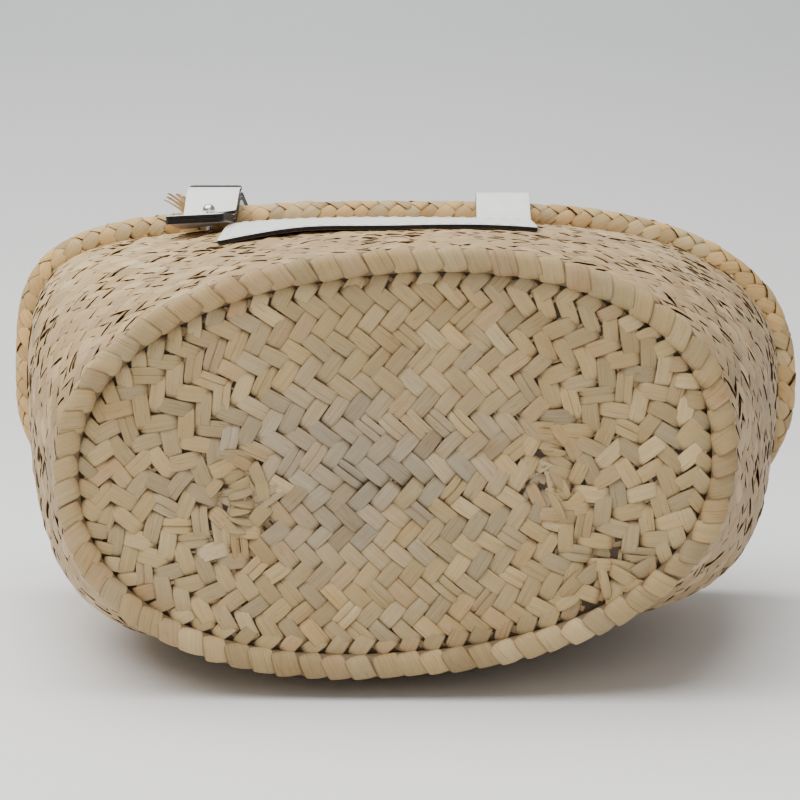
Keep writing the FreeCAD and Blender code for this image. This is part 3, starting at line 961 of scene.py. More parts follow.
def base_core():
    """The hidden crossings of the base: a thin plate that follows its waves, out below and back above."""
    rings, spokes = 14, 120
    edge_x, edge_y = outline(EDGE_LENGTH + CORE_MARGIN, EDGE_DEPTH + CORE_MARGIN, FOOT_EXPONENT,
                             np.arange(spokes) * 2.0 * np.pi / spokes)
    out = np.arange(1, rings + 1) / rings
    share = np.concatenate([out, out[::-1]])[:, None]
    x = np.concatenate([(edge_x * share).ravel(), [0.0, 0.0]])
    y = np.concatenate([(edge_y * share).ravel(), [0.0, 0.0]])
    level = np.concatenate([np.repeat(CORE_LEVELS, rings * spokes), CORE_LEVELS])
    z = BASE_UNDERSIDE + level - base_waves(x, y)
    x, y = settle(x, y, 0.0)
    faces = grid_faces(2 * rings, spokes, closed_columns=True)
    inner_ring = (2 * rings - 1) * spokes
    lower_middle, upper_middle = 2 * rings * spokes, 2 * rings * spokes + 1
    for spoke in range(spokes):
        after = (spoke + 1) % spokes
        faces.append([lower_middle, after, spoke])
        faces.append([upper_middle, inner_ring + spoke, inner_ring + after])
    return np.column_stack([x, y, z]), faces


def greyed(tint, places):
    """Weathering: the middle of the base has gone grey, in patches."""
    x, y = places[:, 0], places[:, 1]
    middle = np.exp(-((x + 12.0) / 62.0) ** 2 - ((y - 2.0) / 34.0) ** 2)
    patchy = np.clip(middle * 0.9 + jitter(0.20, len(x)) - 0.12, 0.0, 0.75)[:, None]
    grey = tint.mean(axis=1, keepdims=True) * np.array([[1.10, 0.99, 0.76]])
    return tint * (1.0 - patchy) + grey * patchy


def add_fold_stack(strips, local, side, count, height, turn):
    """The rows double back at a focus: short curved strips crowded into a stack with dark gaps."""
    step = (np.arange(count) - (count - 1) / 2.0) / count
    places = np.stack([side * FOCUS_X + 2.2 * np.cos(step * 5.0) + local.normal(0.0, 0.9, count),
                       SPINE_Y + step * height], axis=1)
    angle = turn + step * 1.1 + local.normal(0.0, 0.16, count)
    strips.add(flat_placer(places, angle), local.uniform(11.5, 16.0, count), local.uniform(3.8, 5.4, count),
               np.zeros(count), local.uniform(0.2, 1.0, count),
               tint_for(local.integers(0, 900, count)) * 0.96,
               profile=lambda q, p: -3.4 * np.abs(q) ** 2.4 - 0.7 * p ** 2,
               twist=local.normal(0.0, 1.0, count), bow=0.35)


def add_petals(strips, local, side, count, spread):
    """Strips that bend round a focus and dip towards it."""
    angle = (np.arange(count) + local.normal(0.0, 0.14, count)) * 2.0 * np.pi / count
    distance = local.uniform(0.88, 1.05, count)
    places = np.stack([side * FOCUS_X + spread[0] * distance * np.cos(angle),
                       SPINE_Y + spread[1] * distance * np.sin(angle)], axis=1)
    turn = angle + math.pi / 2.0 + local.normal(0.35, 0.30, count)
    strips.add(flat_placer(places, turn), local.uniform(10.0, 14.5, count), local.uniform(4.6, 6.4, count),
               np.zeros(count), local.uniform(0.0, 0.7, count), tint_for(local.integers(0, 900, count)),
               twist=local.normal(0.0, 0.5, count), bow=0.2)


def build_base():
    """The twill of the base, its floats below and its crossings above, with the crowding at the foci."""
    under = Strips()
    places, directions, signs, rows, ids = base_rings()
    near = np.hypot(np.abs(places[:, 0]) - FOCUS_X, (places[:, 1] - SPINE_Y) * FOCUS_CROWDING)
    knotted = np.hypot(places[:, 0] - KNOT[0], places[:, 1] - KNOT[1] + 1.0) < KNOT_CLEAR
    cleared = (near < FOCUS_CLEAR) | knotted
    unruly = 1.0 + 1.6 * (np.abs(places[:, 0]) > FOCUS_X) + 1.6 * np.exp(-(near / 24.0) ** 2)
    tilt = signs * TWILL + jitter(math.radians(2.2), len(ids)) * unruly
    tint = greyed(tint_for(ids), places)
    # painted light: the floats are painted lighter towards the back (+Y), where the base tilts up to the
    # light
    shade = (0.97 + 0.07 * smooth(places[:, 1], -60.0, 70.0))[:, None]
    for mask, shift, narrow in split_some(BASE_SPLITS, len(ids)):
        mask = mask & ~cleared
        number = int(mask.sum())
        turn = directions[mask] + tilt[mask]
        centres = places[mask] + shift * np.stack([-np.sin(turn), np.cos(turn)], axis=1)
        length = (rows[mask] * DIAGONAL + TUCK) * vary(0.03, number)
        width = STRIP * narrow * vary(0.05, number)
        lift = 0.05 + jitter(0.12, number)
        under.add(flat_placer(centres, directions[mask]), length, width, tilt[mask], lift,
                  (tint * shade)[mask], twist=jitter(0.22, number))
    local = np.random.default_rng(8)
    for petals in PETALS:
        add_petals(under, local, *petals)
    for stack in FOLD_STACKS:
        add_fold_stack(under, local, *stack)
    length = (rows * DIAGONAL + TUCK) * vary(0.03, len(ids))
    width = STRIP * vary(0.05, len(ids))
    lift = jitter(0.1, len(ids)) - 0.2 - LOWERED * cleared
    under.add(flat_placer(places, directions, False), length, width, -tilt, lift, tint)
    obj = under.build("woven_base", STRAW, base_core())
    finish_piece(obj, ["woven_base"])


build_base()


# ---------------------------------------------------------------- welt, lacing and knot

WELT_TABS = 72
TUBE_HALF_WIDTH = 4.8
TUBE_HALF_HEIGHT = 3.5
TUBE_HEIGHT = WELT_HEIGHT / 2.0 + 0.2
TUBE_SQUARENESS = 2.3
TAB_LENGTH = 13.5
TAB_WIDTH = 9.3
TAB_MIDDLE = 285.0 / 360.0    # a fold's middle, as a share of the way round the welt
TAB_TILT = math.radians(118.0)
LACE_LENGTH = 11.5
LACE_WIDTH = 6.2
LACE_TILT = math.radians(-52.0)
LACE_CLEAR = 17.0             # no lacing this near the knot


def build_welt():
    """The ridge round the base: a closed tube with broad folds wrapped over it."""
    x, y = foot_ring(-WELT_WIDTH / 2.0)
    tube, girth = tube_sheet(x, y, TUBE_HEIGHT, TUBE_HALF_WIDTH, TUBE_HALF_HEIGHT, TUBE_SQUARENESS)
    folds = Strips(LONG_ALONG)
    number = WELT_TABS
    runs = (np.arange(number) + jitter(0.05, number)) / number
    rises = TAB_MIDDLE * girth + jitter(0.45, number)
    length = TAB_LENGTH * vary(0.04, number)
    width = TAB_WIDTH * vary(0.04, number)
    tilt = TAB_TILT + jitter(0.06, number)
    lift = 0.75 + jitter(0.14, number)
    tint = tint_for(np.arange(number) * 7, BASE_MIX, 0.94, 12)
    # the folds' ends get less painted shade than other strips
    folds.add(sheet_placer(tube, runs, rises), length, width, tilt, lift, tint,
              profile=tab_profile, bow=0.02, twist=jitter(0.15, number), end_shade_strength=0.4)
    # the welt's core gets the lighter painted shade
    obj = folds.build("base_edge_welt", STRAW, tube_core(tube, -0.1), WELT_CORE_PAINTED_SHADE)
    finish_piece(obj, ["base_edge_welt"])


build_welt()


def build_lacing():
    """Short slanting strips that lace the base to the welt."""
    x, y = even_ring(*outline(FOOT_HALF_LENGTH, FOOT_HALF_DEPTH, FOOT_EXPONENT, RING_ANGLES), WELT_TABS,
                     -LACING_INSET)
    facing = np.arctan2(np.roll(y, -1) - np.roll(y, 1), np.roll(x, -1) - np.roll(x, 1))
    keep = np.hypot(x - KNOT[0], y - KNOT[1]) > LACE_CLEAR
    places = np.stack([x, y], axis=1)[keep]
    number = len(places)
    strips = Strips()
    length = LACE_LENGTH * vary(0.06, number)
    width = LACE_WIDTH * vary(0.10, number)
    tilt = LACE_TILT + jitter(0.12, number)
    lift = 0.1 + jitter(0.2, number)
    tint = tint_for(np.arange(number) * 3, WALL_MIX, 0.95, 21)
    strips.add(flat_placer(places, facing[keep]), length, width, tilt, lift, tint,
               twist=jitter(0.35, number), bow=0.16)
    obj = strips.build("base_edge_lacing", STRAW)
    finish_piece(obj, ["base_edge_lacing"])


build_lacing()

# The plait's end: each fold's x and y from the knot, turn in degrees, length, width and lift
KNOT_FOLDS = (
    (-11.0, 6.0, -42.0, 19.0, 5.6, 1.2),
    (-4.0, 2.5, -35.0, 13.0, 6.4, 1.9),
    (1.5, 6.0, -98.0, 17.0, 3.6, 2.4),
    (0.5, -1.0, 8.0, 11.0, 5.0, 1.6),
    (9.0, 4.5, 35.0, 15.0, 5.2, 1.7),
    (12.0, 8.5, 8.0, 14.0, 5.6, 1.0),
    (5.0, 12.0, -75.0, 15.0, 5.8, 0.9),
    (17.0, 2.0, -28.0, 13.0, 5.8, 0.9),
    (-14.0, 12.0, -28.0, 15.0, 5.8, 0.7))


def build_knot():
    """The plait's end, tucked in and tied: a few strips folded over each other by a small hole."""
    strips = Strips(LONG_ALONG)
    folds = np.array(KNOT_FOLDS)
    number = len(folds)
    places = folds[:, :2] + KNOT
    turn, length, width, lift = folds[:, 2:].T
    strips.add(flat_placer(places, np.radians(turn)), length, width, np.zeros(number), lift,
               tint_for(np.arange(number) * 11, BASE_MIX, 1.0, 30),
               profile=lambda q, p: -2.6 * np.abs(q) ** 3 - 0.6 * p ** 2,
               twist=jitter(0.6, number), bow=0.3)
    obj = strips.build("base_closing_knot", STRAW)
    finish_piece(obj, ["base_closing_knot"])


build_knot()


# ---------------------------------------------------------------- mouth rim

RIM_ROWS = 6
RIM_FIRST_ROW = -15.0 / 360.0  # a row boundary falls on the tube's lower outer quarter
RIM_PITCH = 8.6
RIM_STRIP_LENGTH = 13.2
RIM_STRIP_WIDTH = 6.8
RIM_TILT = math.radians(36.0)
RIM_UNDER = 0.8               # how far the tube lies under the rim's surface
RIM_SQUARENESS = 2.1
WISP_X = -107.0
WISP_HEIGHT = 238.0
WISP_ROOT = 4.0               # how deep in the rim it starts
WISP_LEANS = (-34.0, -20.0, -8.0, 4.0, 14.0)


def build_rim():
    """The cord on the mouth: rows of short strips that slant to and fro round a closed tube."""
    x, y = wall_ring(WALL_TOP, RIM_CENTRE_OUT)
    tube, girth = tube_sheet(x, y, RIM_CENTRE_HEIGHT, RIM_HALF_WIDTH - RIM_UNDER,
                             RIM_HALF_HEIGHT - RIM_UNDER, RIM_SQUARENESS)
    count = int(round(float(tube.lengths.mean()) / RIM_PITCH))
    plait = Strips()
    for row in range(RIM_ROWS):
        runs = (np.arange(count) + 0.5 * (row % 2) + jitter(0.05, count)) / count
        rises = np.full(count, (RIM_FIRST_ROW + row / RIM_ROWS) * girth)
        tilt = RIM_TILT * (-1.0) ** (row + 1) + jitter(math.radians(4.0), count)
        length = RIM_STRIP_LENGTH * vary(0.05, count)
        width = RIM_STRIP_WIDTH * vary(0.07, count)
        lift = 0.75 + jitter(0.15, count)
        tint = tint_for(np.arange(count) + 31 * row, RIM_MIX, 1.08, 17)
        plait.add(sheet_placer(tube, runs, rises), length, width, tilt, lift, tint,
                  twist=jitter(0.2, count))
    obj = plait.build("mouth_rim_braid", STRAW, tube_core(tube, -0.5))
    finish_piece(obj, ["mouth_rim_braid"])


build_rim()


def build_wisp():
    """A frayed end of leaf that sticks out of the rim beside the left strap."""
    wisp = Strips(LONG_ALONG)
    lean = np.radians(WISP_LEANS)
    number = len(lean)
    local = np.random.default_rng(3)
    depth = wall_face(WISP_X, WISP_HEIGHT, FRONT) + RIM_CENTRE_OUT + WISP_ROOT
    root = np.array([WISP_X, -depth, WISP_HEIGHT])

    def place(ds, dt, rise):
        out = 6.5 + ds
        x = root[0] + np.sin(lean)[:, None] * out + dt * np.cos(lean)[:, None] - 0.05 * out ** 2
        y = root[1] - np.cos(lean)[:, None] * out
        z = root[2] + rise + 0.25 * out + 0.02 * out ** 2 * np.sin(7.0 * lean)[:, None]
        return np.stack([x, y, z], axis=-1)

    length = local.uniform(11.0, 15.0, number)
    width = local.uniform(1.8, 2.8, number)
    flat = np.zeros(number)
    wisp.add(place, length, width, flat, flat, tint_for(np.arange(number), RIM_MIX, 0.95, 6),
             profile=lambda q, p: -0.3 * p ** 2)
    obj = wisp.build("rim_frayed_end", STRAW)
    finish_piece(obj, ["mouth_rim_braid"])


build_wisp()


# ---------------------------------------------------------------- leather

STRAP_TOP = 246.0             # the straps on the wall end here, at the handles' fold line
LEATHER_SET = [LEATHER_FACE, EDGE_PAINT, FLESH]
LINED_SET = [LEATHER_FACE, EDGE_PAINT, LEATHER_FACE]


def strap_inner(x, height, side):
    """Inner face of a strap: on the wall low down, then lifted to the handles' plane."""
    lift = smooth(height, LIFT_START, LIFT_END)
    return (1.0 - lift) * (wall_face(x, height, side) + CONTACT_GAP) + lift * STRAP_PLANE


def front_strap_inner(x, height, side):
    """Inner face of the front's left strap, which lies over the patch."""
    lift = smooth(height, LIFT_START, LIFT_END)
    return strap_inner(x, height, side) + (LEATHER + LAYER_GAP) * (1.0 - lift)


def riser_inner(x, height, side):
    """Inner face of the patch and its riser, which climbs onto the strap's lining."""
    lift = smooth(height, RISER_LIFT_START, RISER_LIFT_END)
    return strap_inner(x, height, side) + (LEATHER + LAYER_GAP) * lift


def patch_inner(x, height):
    """The patch lies on the wall, but a stretch of its lower edge stands off it a little."""
    low = 1.0 - smooth(height, PANEL_BOTTOM, PANEL_BOTTOM + 18.0)
    return riser_inner(x, height, FRONT) + PANEL_LOOSE * low * np.exp(-((x - PANEL_LOOSE_X) / 24.0) ** 2)


def tail_inner(x, height, side):
    """The stiff tail leaves the curve of the wall: flat across and lifted at its tip."""
    curl = 1.0 - smooth(height, *TAIL_CURL_RUN)
    centre = tail_centre(height)
    flat = front_strap_inner(centre, height, side) + TAIL_SLOPE * (x - centre)
    return front_strap_inner(x, height, side) * (1.0 - curl) + (flat + TAIL_CURL) * curl


def tail_centre(height):
    return LEFT_STRAP_X + TAIL_SHIFT * (TAIL_TOP - height) / (TAIL_TOP - TAIL_BOTTOM)


def tail_width(height):
    return STRAP_WIDTH + (TAIL_TIP_WIDTH - STRAP_WIDTH) * (TAIL_TOP - height) / (TAIL_TOP - TAIL_BOTTOM)


def left_strap(height):
    return LEFT_STRAP_X


def right_strap(height):
    return RIGHT_STRAP_X


def strap_width(height):
    return STRAP_WIDTH


def wall_rows(bottom, top, step, inner, middle, thickness, side, width=strap_width):
    """Cross rows of a strap lying on the wall: points on its mid surface, from -X to +X."""
    rows = []
    for height in np.linspace(bottom, top, max(2, int(round((top - bottom) / step)) + 1)):
        x = middle(height) + np.linspace(-0.5, 0.5, COLUMNS + 1) * width(height)
        out = inner(x, height, side) + thickness / 2.0
        rows.append(np.stack([x, side * out, np.full_like(x, height)], axis=1))
    return rows


def arch_rows(offset, side, stations=64, foot_rows=6):
    """Cross rows of the handle's arch, from the left leg to the right, offset through its thickness."""
    span = (RIGHT_STRAP_X - LEFT_STRAP_X) / 2.0
    middle = (RIGHT_STRAP_X + LEFT_STRAP_X) / 2.0
    lean = np.array([[1.0, 0.0, 0.0], [0.0, math.cos(HANDLE_LEAN), -math.sin(HANDLE_LEAN)],
                     [0.0, math.sin(HANDLE_LEAN), math.cos(HANDLE_LEAN)]])
    out = np.array([0.0, -1.0, 0.0])
    spread = np.linspace(-0.5, 0.5, COLUMNS + 1)[:, None]
    crown = 0.35 * (1.0 - (2.0 * spread) ** 2)
    rows = []
    for index in range(1 - foot_rows, stations - 1 + foot_rows):
        turn = math.pi * min(1.0, max(0.0, index / (stations - 1.0)))
        below = max(0, -index, index - (stations - 1)) / foot_rows
        centre = np.array([middle - span * math.cos(turn), 0.0,
                           HANDLE_LEG * (1.0 - below) + HANDLE_RISE * math.sin(turn)])
        tangent = unit(np.array([span * math.sin(turn), 0.0, HANDLE_RISE * math.cos(turn)]))
        sideways = np.cross(tangent, out)
        twist = math.pi / 2.0 * float(smooth(min(turn, math.pi - turn) / math.pi, 0.0, TWIST_SHARE))
        across = sideways * math.cos(twist) + out * math.sin(twist)
        through = out * math.cos(twist) - sideways * math.sin(twist)
        points = (centre + across * spread * STRAP_WIDTH + through * (offset + crown)) @ lean
        points[:, 1] = (STRAP_PLANE + STRAP / 2.0 - points[:, 1]) * side
        points[:, 2] += HINGE_HEIGHT
        rows.append(points)
    return rows


def joined_rows(*groups):
    """Cross rows one after another, each turned round if need be so that the sheet doesn't twist."""
    rows = []
    for row in (row for group in groups for row in group):
        if rows and np.linalg.norm(row[0] - rows[-1][0]) > np.linalg.norm(row[-1] - rows[-1][0]):
            row = row[::-1]
        rows.append(row)
    return rows


def leather_from_rows(name, rows, thickness, materials, bevel=0.45):
    """A sheet of leather from cross rows: given thickness, painted edges and rounded corners."""
    grid = np.array(rows)
    obj = add_mesh(name, grid.reshape(-1, 3), grid_faces(*grid.shape[:2]), materials)
    return thicken(obj, thickness, bevel)


def thicken(obj, thickness, bevel):
    """Gives a sheet its thickness, with edge paint round the rim, and rounds its edges."""
    solid = obj.modifiers.new("thickness", "SOLIDIFY")
    solid.thickness = thickness * MM
    solid.offset = 0.0
    solid.use_even_offset = True
    solid.material_offset = 2
    solid.material_offset_rim = 1
    round_edges = obj.modifiers.new("edges", "BEVEL")
    round_edges.width = bevel * MM
    round_edges.segments = 3
    round_edges.limit_method = "ANGLE"
    round_edges.angle_limit = math.radians(50.0)
    bpy.context.view_layer.update()
    depsgraph = bpy.context.evaluated_depsgraph_get()
    mesh = bpy.data.meshes.new_from_object(obj.evaluated_get(depsgraph))
    obj.modifiers.clear()
    obj.data = mesh
    return obj


def round_end(rows, radius, at_start):
    """Pulls the corners of a strap's end in to round them."""
    rows = [row.copy() for row in rows]
    order = range(len(rows)) if at_start else range(len(rows) - 1, -1, -1)
    end = rows[0 if at_start else -1].mean(axis=0)
    for index in order:
        row = rows[index]
        middle = row.mean(axis=0)
        distance = float(np.linalg.norm(middle - end))
        if distance >= radius:
            break
        cut = radius - math.sqrt(radius ** 2 - (radius - distance) ** 2)
        rows[index] = middle + (row - middle) * (1.0 - 2.0 * cut / np.linalg.norm(row[-1] - row[0]))
    return rows


class PatchSheet:
    """Points and faces of the front patch, its riser and the strap that goes on over the arch."""

    def __init__(self):
        self.points = []
        self.faces = []

    def add_row(self, row):
        """Adds a row of points and gives their numbers."""
        start = len(self.points)
        self.points += [tuple(point) for point in row]
        return list(range(start, len(self.points)))

    def bridge(self, low, high):
        """Adds the faces between two rows."""
        for column in range(len(low) - 1):
            self.faces.append([low[column], low[column + 1], high[column + 1], high[column]])


def build_front_panel():
    """The L-shaped patch; its riser goes on as the outer layer of the front handle."""
    riser_left = RIGHT_STRAP_X - STRAP_WIDTH / 2.0
    riser_right = RIGHT_STRAP_X + STRAP_WIDTH / 2.0
    patch_columns = 36
    sheet = PatchSheet()
    previous = None
    for height in np.linspace(PANEL_BOTTOM, PANEL_TOP, 28):
        share = (height - PANEL_BOTTOM) / (PANEL_TOP - PANEL_BOTTOM)
        left = PANEL_LEFT_BOTTOM + (PANEL_LEFT - PANEL_LEFT_BOTTOM) * share
        x = np.concatenate([np.linspace(left, riser_left, patch_columns + 1),
                            np.linspace(riser_left, riser_right, COLUMNS + 1)[1:]])
        out = patch_inner(x, height) + LEATHER / 2.0
        row = sheet.add_row(np.stack([x, -out, np.full_like(x, height)], axis=1))
        if previous:
            sheet.bridge(previous, row)
        previous = row
    previous = previous[patch_columns:]
    riser = wall_rows(PANEL_TOP, STRAP_TOP, 1.8, riser_inner, right_strap, LEATHER, FRONT)[1:]
    arch = arch_rows(STRAP / 2.0 - LEATHER / 2.0, FRONT)[::-1]
    left_leg = wall_rows(TAIL_TOP + 1.0, STRAP_TOP, 2.0,
                         lambda x, z, side: front_strap_inner(x, z, side) + LINING,
                         left_strap, LEATHER, FRONT)[::-1]
    top_row = [np.array(sheet.points[corner]) for corner in previous]
    for row in joined_rows([np.array(top_row)], riser, arch, left_leg)[1:]:
        current = sheet.add_row(row)
        sheet.bridge(previous, current)
        previous = current
    obj = add_mesh("front_patch_and_strap", sheet.points, sheet.faces, LEATHER_SET)
    round_sheet_corners(obj, [(PANEL_LEFT_BOTTOM, PANEL_BOTTOM), (riser_right, PANEL_BOTTOM),
                              (PANEL_LEFT, PANEL_TOP), (riser_left, PANEL_TOP)], PATCH_CORNER)
    thicken(obj, LEATHER, 0.45)
    finish_piece(obj, ["front_panel", "front_handle"], None)
    blend_handle(obj)


def blend_handle(obj):
    """Bakes the piece's placement into its mesh."""
    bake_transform(obj)


def round_sheet_corners(obj, places, radius):
    """Rounds a sheet's corners, each given by its x and height on the front."""
    def miss(vertex, x, height):
        return abs(vertex.co.x - x * MM) + abs(vertex.co.z - height * MM) + max(0.0, vertex.co.y)

    mesh = bmesh.new()
    mesh.from_mesh(obj.data)
    chosen = [min(mesh.verts, key=lambda vertex: miss(vertex, x, height)) for x, height in places]
    bmesh.ops.bevel(mesh, geom=chosen, offset=radius * MM, segments=4, affect="VERTICES", profile=0.5)
    mesh.to_mesh(obj.data)
    mesh.free()


def build_strap(name, side, right_bottom, left_bottom, left_inner, nodes, thickness, offset):
    """A strap layer from the right leg's foot over the arch to the left leg's foot."""
    right = wall_rows(right_bottom, STRAP_TOP, 2.0, strap_inner, right_strap, thickness, side)
    left = wall_rows(left_bottom, STRAP_TOP, 2.0, left_inner, left_strap, thickness, side)
    rows = joined_rows(right, arch_rows(offset, side)[::-1], left[::-1])
    rows = round_end(round_end(rows, STRAP_CORNER, True), STRAP_CORNER, False)
    obj = leather_from_rows(name, rows, thickness, LINED_SET)
    finish_piece(obj, nodes, None)
    blend_handle(obj)


build_front_panel()
build_strap("front_strap_lining", FRONT, LINING_RIGHT_BOTTOM, LINING_LEFT_BOTTOM, front_strap_inner,
            ("front_riser_lining", "front_strap_end"), LINING - LINING_GAP,
            -(LEATHER + LINING_GAP) / 2.0)
build_strap("back_strap", BACK, BACK_STRAP_BOTTOM, BACK_STRAP_BOTTOM, strap_inner,
            ("back_left_strap_end", "back_right_strap_end", "back_handle"), STRAP, 0.0)


def build_tail():
    """The strap's doubled tail: it swings to -X and curls off the wall, so its tan underside shows."""
    for name, inner_add, thickness, materials in (
            ("front_strap_tail", LINING, LEATHER, [LEATHER_FACE, EDGE_PAINT, EDGE_PAINT]),
            ("front_strap_tail_lining", 0.0, LINING, [EDGE_PAINT, EDGE_PAINT, FLESH])):
        def inner(x, height, side, add=inner_add):
            return tail_inner(x, height, side) + add

        rows = wall_rows(TAIL_BOTTOM, TAIL_TOP, 2.0, inner, tail_centre, thickness, FRONT, tail_width)
        rows = round_end(rows, TAIL_CORNER, True)
        obj = leather_from_rows(name, rows, thickness, materials, 0.3)
        finish_piece(obj, ["front_strap_tail"], "front_tail")


build_tail()


def build_tab(node, x, side, inner):
    """A keeper tab over a strap, its top edge turned out and lapped with black paint."""
    def tab_inner(px, height, face):
        return inner(px, height, face) + STRAP + LAYER_GAP + TAB_FLARE * smooth(height, LIFT_END, TAB_TOP)

    rows = wall_rows(TAB_BOTTOM, TAB_TOP, 1.6, tab_inner, lambda height: x, LEATHER, side)
    rows = round_end(round_end(rows, TAB_LOW_CORNER, True), TAB_HIGH_CORNER, False)
    obj = leather_from_rows(node, rows, LEATHER, LEATHER_SET)
    for face in obj.data.polygons:
        if face.center.z > TAB_PAINT_FROM * MM:
            face.material_index = 1
    finish_piece(obj, [node])


build_tab("front_keeper_tab", LEFT_STRAP_X, FRONT, front_strap_inner)
build_tab("back_left_keeper_tab", LEFT_STRAP_X, BACK, strap_inner)
build_tab("back_right_keeper_tab", RIGHT_STRAP_X, BACK, strap_inner)


def build_stitching():
    """Short sunken stitches along the patch's edges, as in the CAD but on the sagging wall."""
    left = PANEL_LEFT_BOTTOM + STITCH_INSET
    left_top = PANEL_LEFT + STITCH_INSET
    right = RIGHT_STRAP_X + STRAP_WIDTH / 2.0 - STITCH_INSET
    low = PANEL_BOTTOM + STITCH_INSET
    high = PANEL_TOP - STITCH_INSET
    corners = [(left, low), (right, low), (right, high), (left_top, high)]
    points, faces = [], []
    for start, end in zip(corners, corners[1:] + corners[:1]):
        run = math.hypot(end[0] - start[0], end[1] - start[1])
        for index in range(int(run / STITCH_PITCH)):
            share = (index + 0.5) * STITCH_PITCH / run
            x = start[0] + (end[0] - start[0]) * share
            height = start[1] + (end[1] - start[1]) * share
            if x < STITCH_COVERED_LEFT and height > STITCH_COVERED_BOTTOM:
                continue
            add_stitch(points, faces, x, height, math.atan2(end[1] - start[1], end[0] - start[0]))
    obj = add_mesh("front_panel_stitching", points, faces, [THREAD])
    fix_normals(obj)
    finish_piece(obj, ["front_panel_stitching"])


def add_stitch(points, faces, x, height, angle):
    """One stitch: a little spindle whose ends dive into the leather."""
    sections, sides = 7, 8
    start = len(points)
    for section in range(sections):
        share = section / (sections - 1.0) * 2.0 - 1.0
        reach = share * STITCH_LENGTH / 2.0
        px = x + reach * math.cos(angle)
        pz = height + reach * math.sin(angle)
        out = float(patch_inner(px, pz)) + LEATHER + 0.12 - 0.45 * share ** 4
        radius = STITCH_RADIUS * math.sqrt(max(0.08, 1.0 - share ** 4))
        for side in range(sides):
            turn = 2.0 * math.pi * side / sides
            across = radius * math.cos(turn)
            points.append((px - across * math.sin(angle), -out - radius * math.sin(turn),
                           pz + across * math.cos(angle)))
    faces += grid_faces(sections, sides, start, closed_columns=True)
    faces.append(list(range(start, start + sides)))
    faces.append(list(range(len(points) - 1, len(points) - 1 - sides, -1)))


build_stitching()

for node in ("dome_studs", "stud_washers"):
    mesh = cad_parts[node].data
    mesh.materials.clear()
    mesh.materials.append(STEEL)


# ---------------------------------------------------------------- floor, light and camera

FLOOR_LEVEL = 0.0985          # metres behind the bag's middle, at the height of the foot
FLOOR_SLOPE = 0.0195
CURVE_START = 0.9             # the floor turns up into the backdrop from here on
CURVE_RADIUS = 1.2
FLOOR_HALF_WIDTH = 4.0
BACKDROP_FADE = (-0.26, 0.05)  # from this height above the bag's middle down to the floor
BACKDROP_COLOUR = (0.58, 0.60, 0.605, 1.0)
SKY_COLOUR = (0.80, 0.81, 0.83, 1.0)
SKY_STRENGTH = 0.46
LIGHT_TARGET = (0.0, 0.0, 0.1)
# Place in metres, size, power and colour
LIGHTS = {
    "key": ((-0.45, -1.50, -0.05), 2.5, 72.0, (1.0, 0.985, 0.96)),
    "front": ((0.35, -0.65, -1.7), 1.2, 5.0, (1.0, 1.0, 1.0))}
LENS = 94.8
CAMERA_PLACE = (0.0256, -0.1223, -0.822)
CAMERA_TARGET = (0.0043, -0.0234, 0.0)


def floor_profile():
    """The line from the near edge along the floor and up the backdrop, as (y, z) in metres."""
    line = [(FLOOR_LEVEL + FLOOR_SLOPE * z, z) for z in (-1.6, -0.4, CURVE_START)]
    for step in range(1, 25):
        turn = math.pi / 2.0 * step / 24.0
        line.append((FLOOR_LEVEL + FLOOR_SLOPE * CURVE_START - CURVE_RADIUS * (1.0 - math.cos(turn)),
                     CURVE_START + CURVE_RADIUS * math.sin(turn)))
    line.append((line[-1][0] - 3.0, line[-1][1]))
    return line


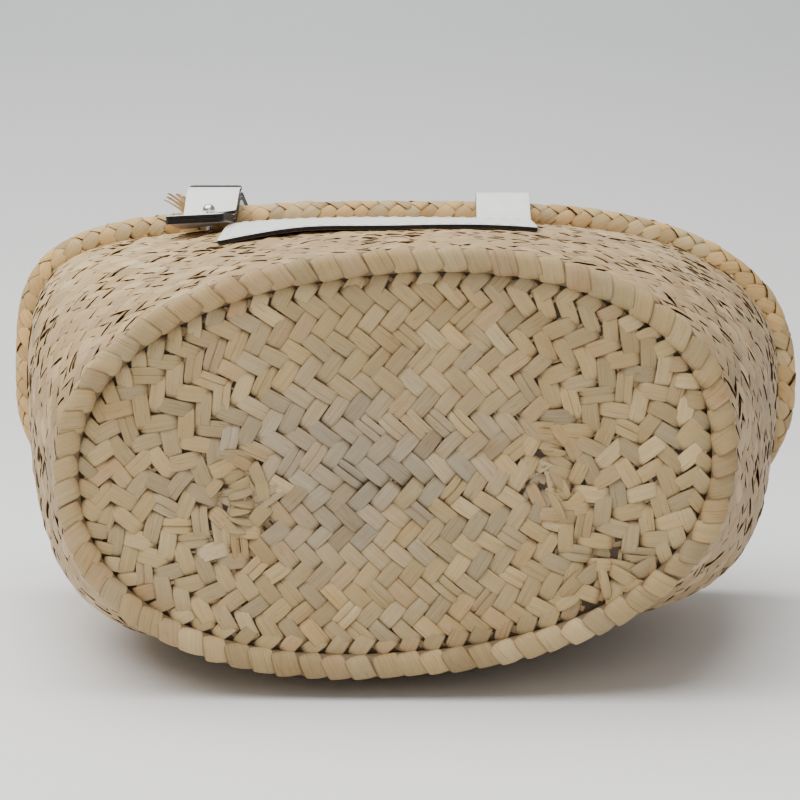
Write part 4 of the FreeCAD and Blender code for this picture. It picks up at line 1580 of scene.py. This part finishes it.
def floor_material():
    """Matt pale paint, a little darker up the backdrop, that lets a camera below see through it."""
    look = Look("pale_floor")
    cloud = look.noise(look.place, 2.5, 3.0, 0.5)
    colour = look.mix(cloud, (0.80, 0.80, 0.80, 1.0), (0.84, 0.84, 0.835, 1.0))
    depth = look.ramp(look.part(look.place, "Y"), *BACKDROP_FADE)
    colour = look.mix(depth, BACKDROP_COLOUR, colour)
    look.feed(look.shader.inputs, {"Base Color": colour, "Roughness": 0.75})
    behind = look.node("NewGeometry", "Backfacing")
    clear = look.node("BsdfTransparent", 0)
    surface = look.node("MixShader", 0, {0: behind, 1: look.shader.outputs[0], 2: clear})
    look.feed(look.nodes["Material Output"].inputs, {"Surface": surface})
    return look.material


def build_floor():
    """The bag lies on its back: the floor touches the back of the foot and of the straps."""
    line = floor_profile()
    points = [(x, y, z) for y, z in line for x in (-FLOOR_HALF_WIDTH, FLOOR_HALF_WIDTH)]
    obj = add_mesh("floor", np.array(points) / MM, grid_faces(len(line), 2), [floor_material()])
    if obj.data.polygons[0].normal.y > 0:
        obj.data.flip_normals()


def add_area(name, place, size, power, colour):
    """A round softbox that points at the bag."""
    light = bpy.data.lights.new(name, "AREA")
    light.shape = "DISK"
    light.size = size
    light.energy = power
    light.color = colour
    obj = bpy.data.objects.new(name, light)
    obj.location = place
    aim = (Vector(LIGHT_TARGET) - Vector(place)).to_track_quat("-Z", "Y")
    obj.rotation_euler = aim.to_euler()
    bpy.context.collection.objects.link(obj)


def build_light():
    """Even light from all round, a large key light above and a weak one in front of the base."""
    world = bpy.data.worlds.new("studio")
    world.use_nodes = True
    background = world.node_tree.nodes["Background"]
    background.inputs[0].default_value = SKY_COLOUR
    background.inputs[1].default_value = SKY_STRENGTH
    bpy.context.scene.world = world
    for name, settings in LIGHTS.items():
        add_area(name, *settings)


def build_camera():
    """Looks at the base from a little above the line of the lying bag's axis."""
    camera = bpy.data.cameras.new("camera")
    camera.lens = LENS
    camera.sensor_width = 36.0
    camera.clip_start = 0.05
    obj = bpy.data.objects.new("camera", camera)
    bpy.context.collection.objects.link(obj)
    place = Vector(CAMERA_PLACE)
    back = (place - Vector(CAMERA_TARGET)).normalized()
    right = Vector((0.0, -1.0, 0.0)).cross(back).normalized()
    up = back.cross(right)
    obj.matrix_world = Matrix((
        (right.x, up.x, back.x, place.x), (right.y, up.y, back.y, place.y),
        (right.z, up.z, back.z, place.z), (0.0, 0.0, 0.0, 1.0)))
    bpy.context.scene.camera = obj


build_floor()
build_light()
build_camera()
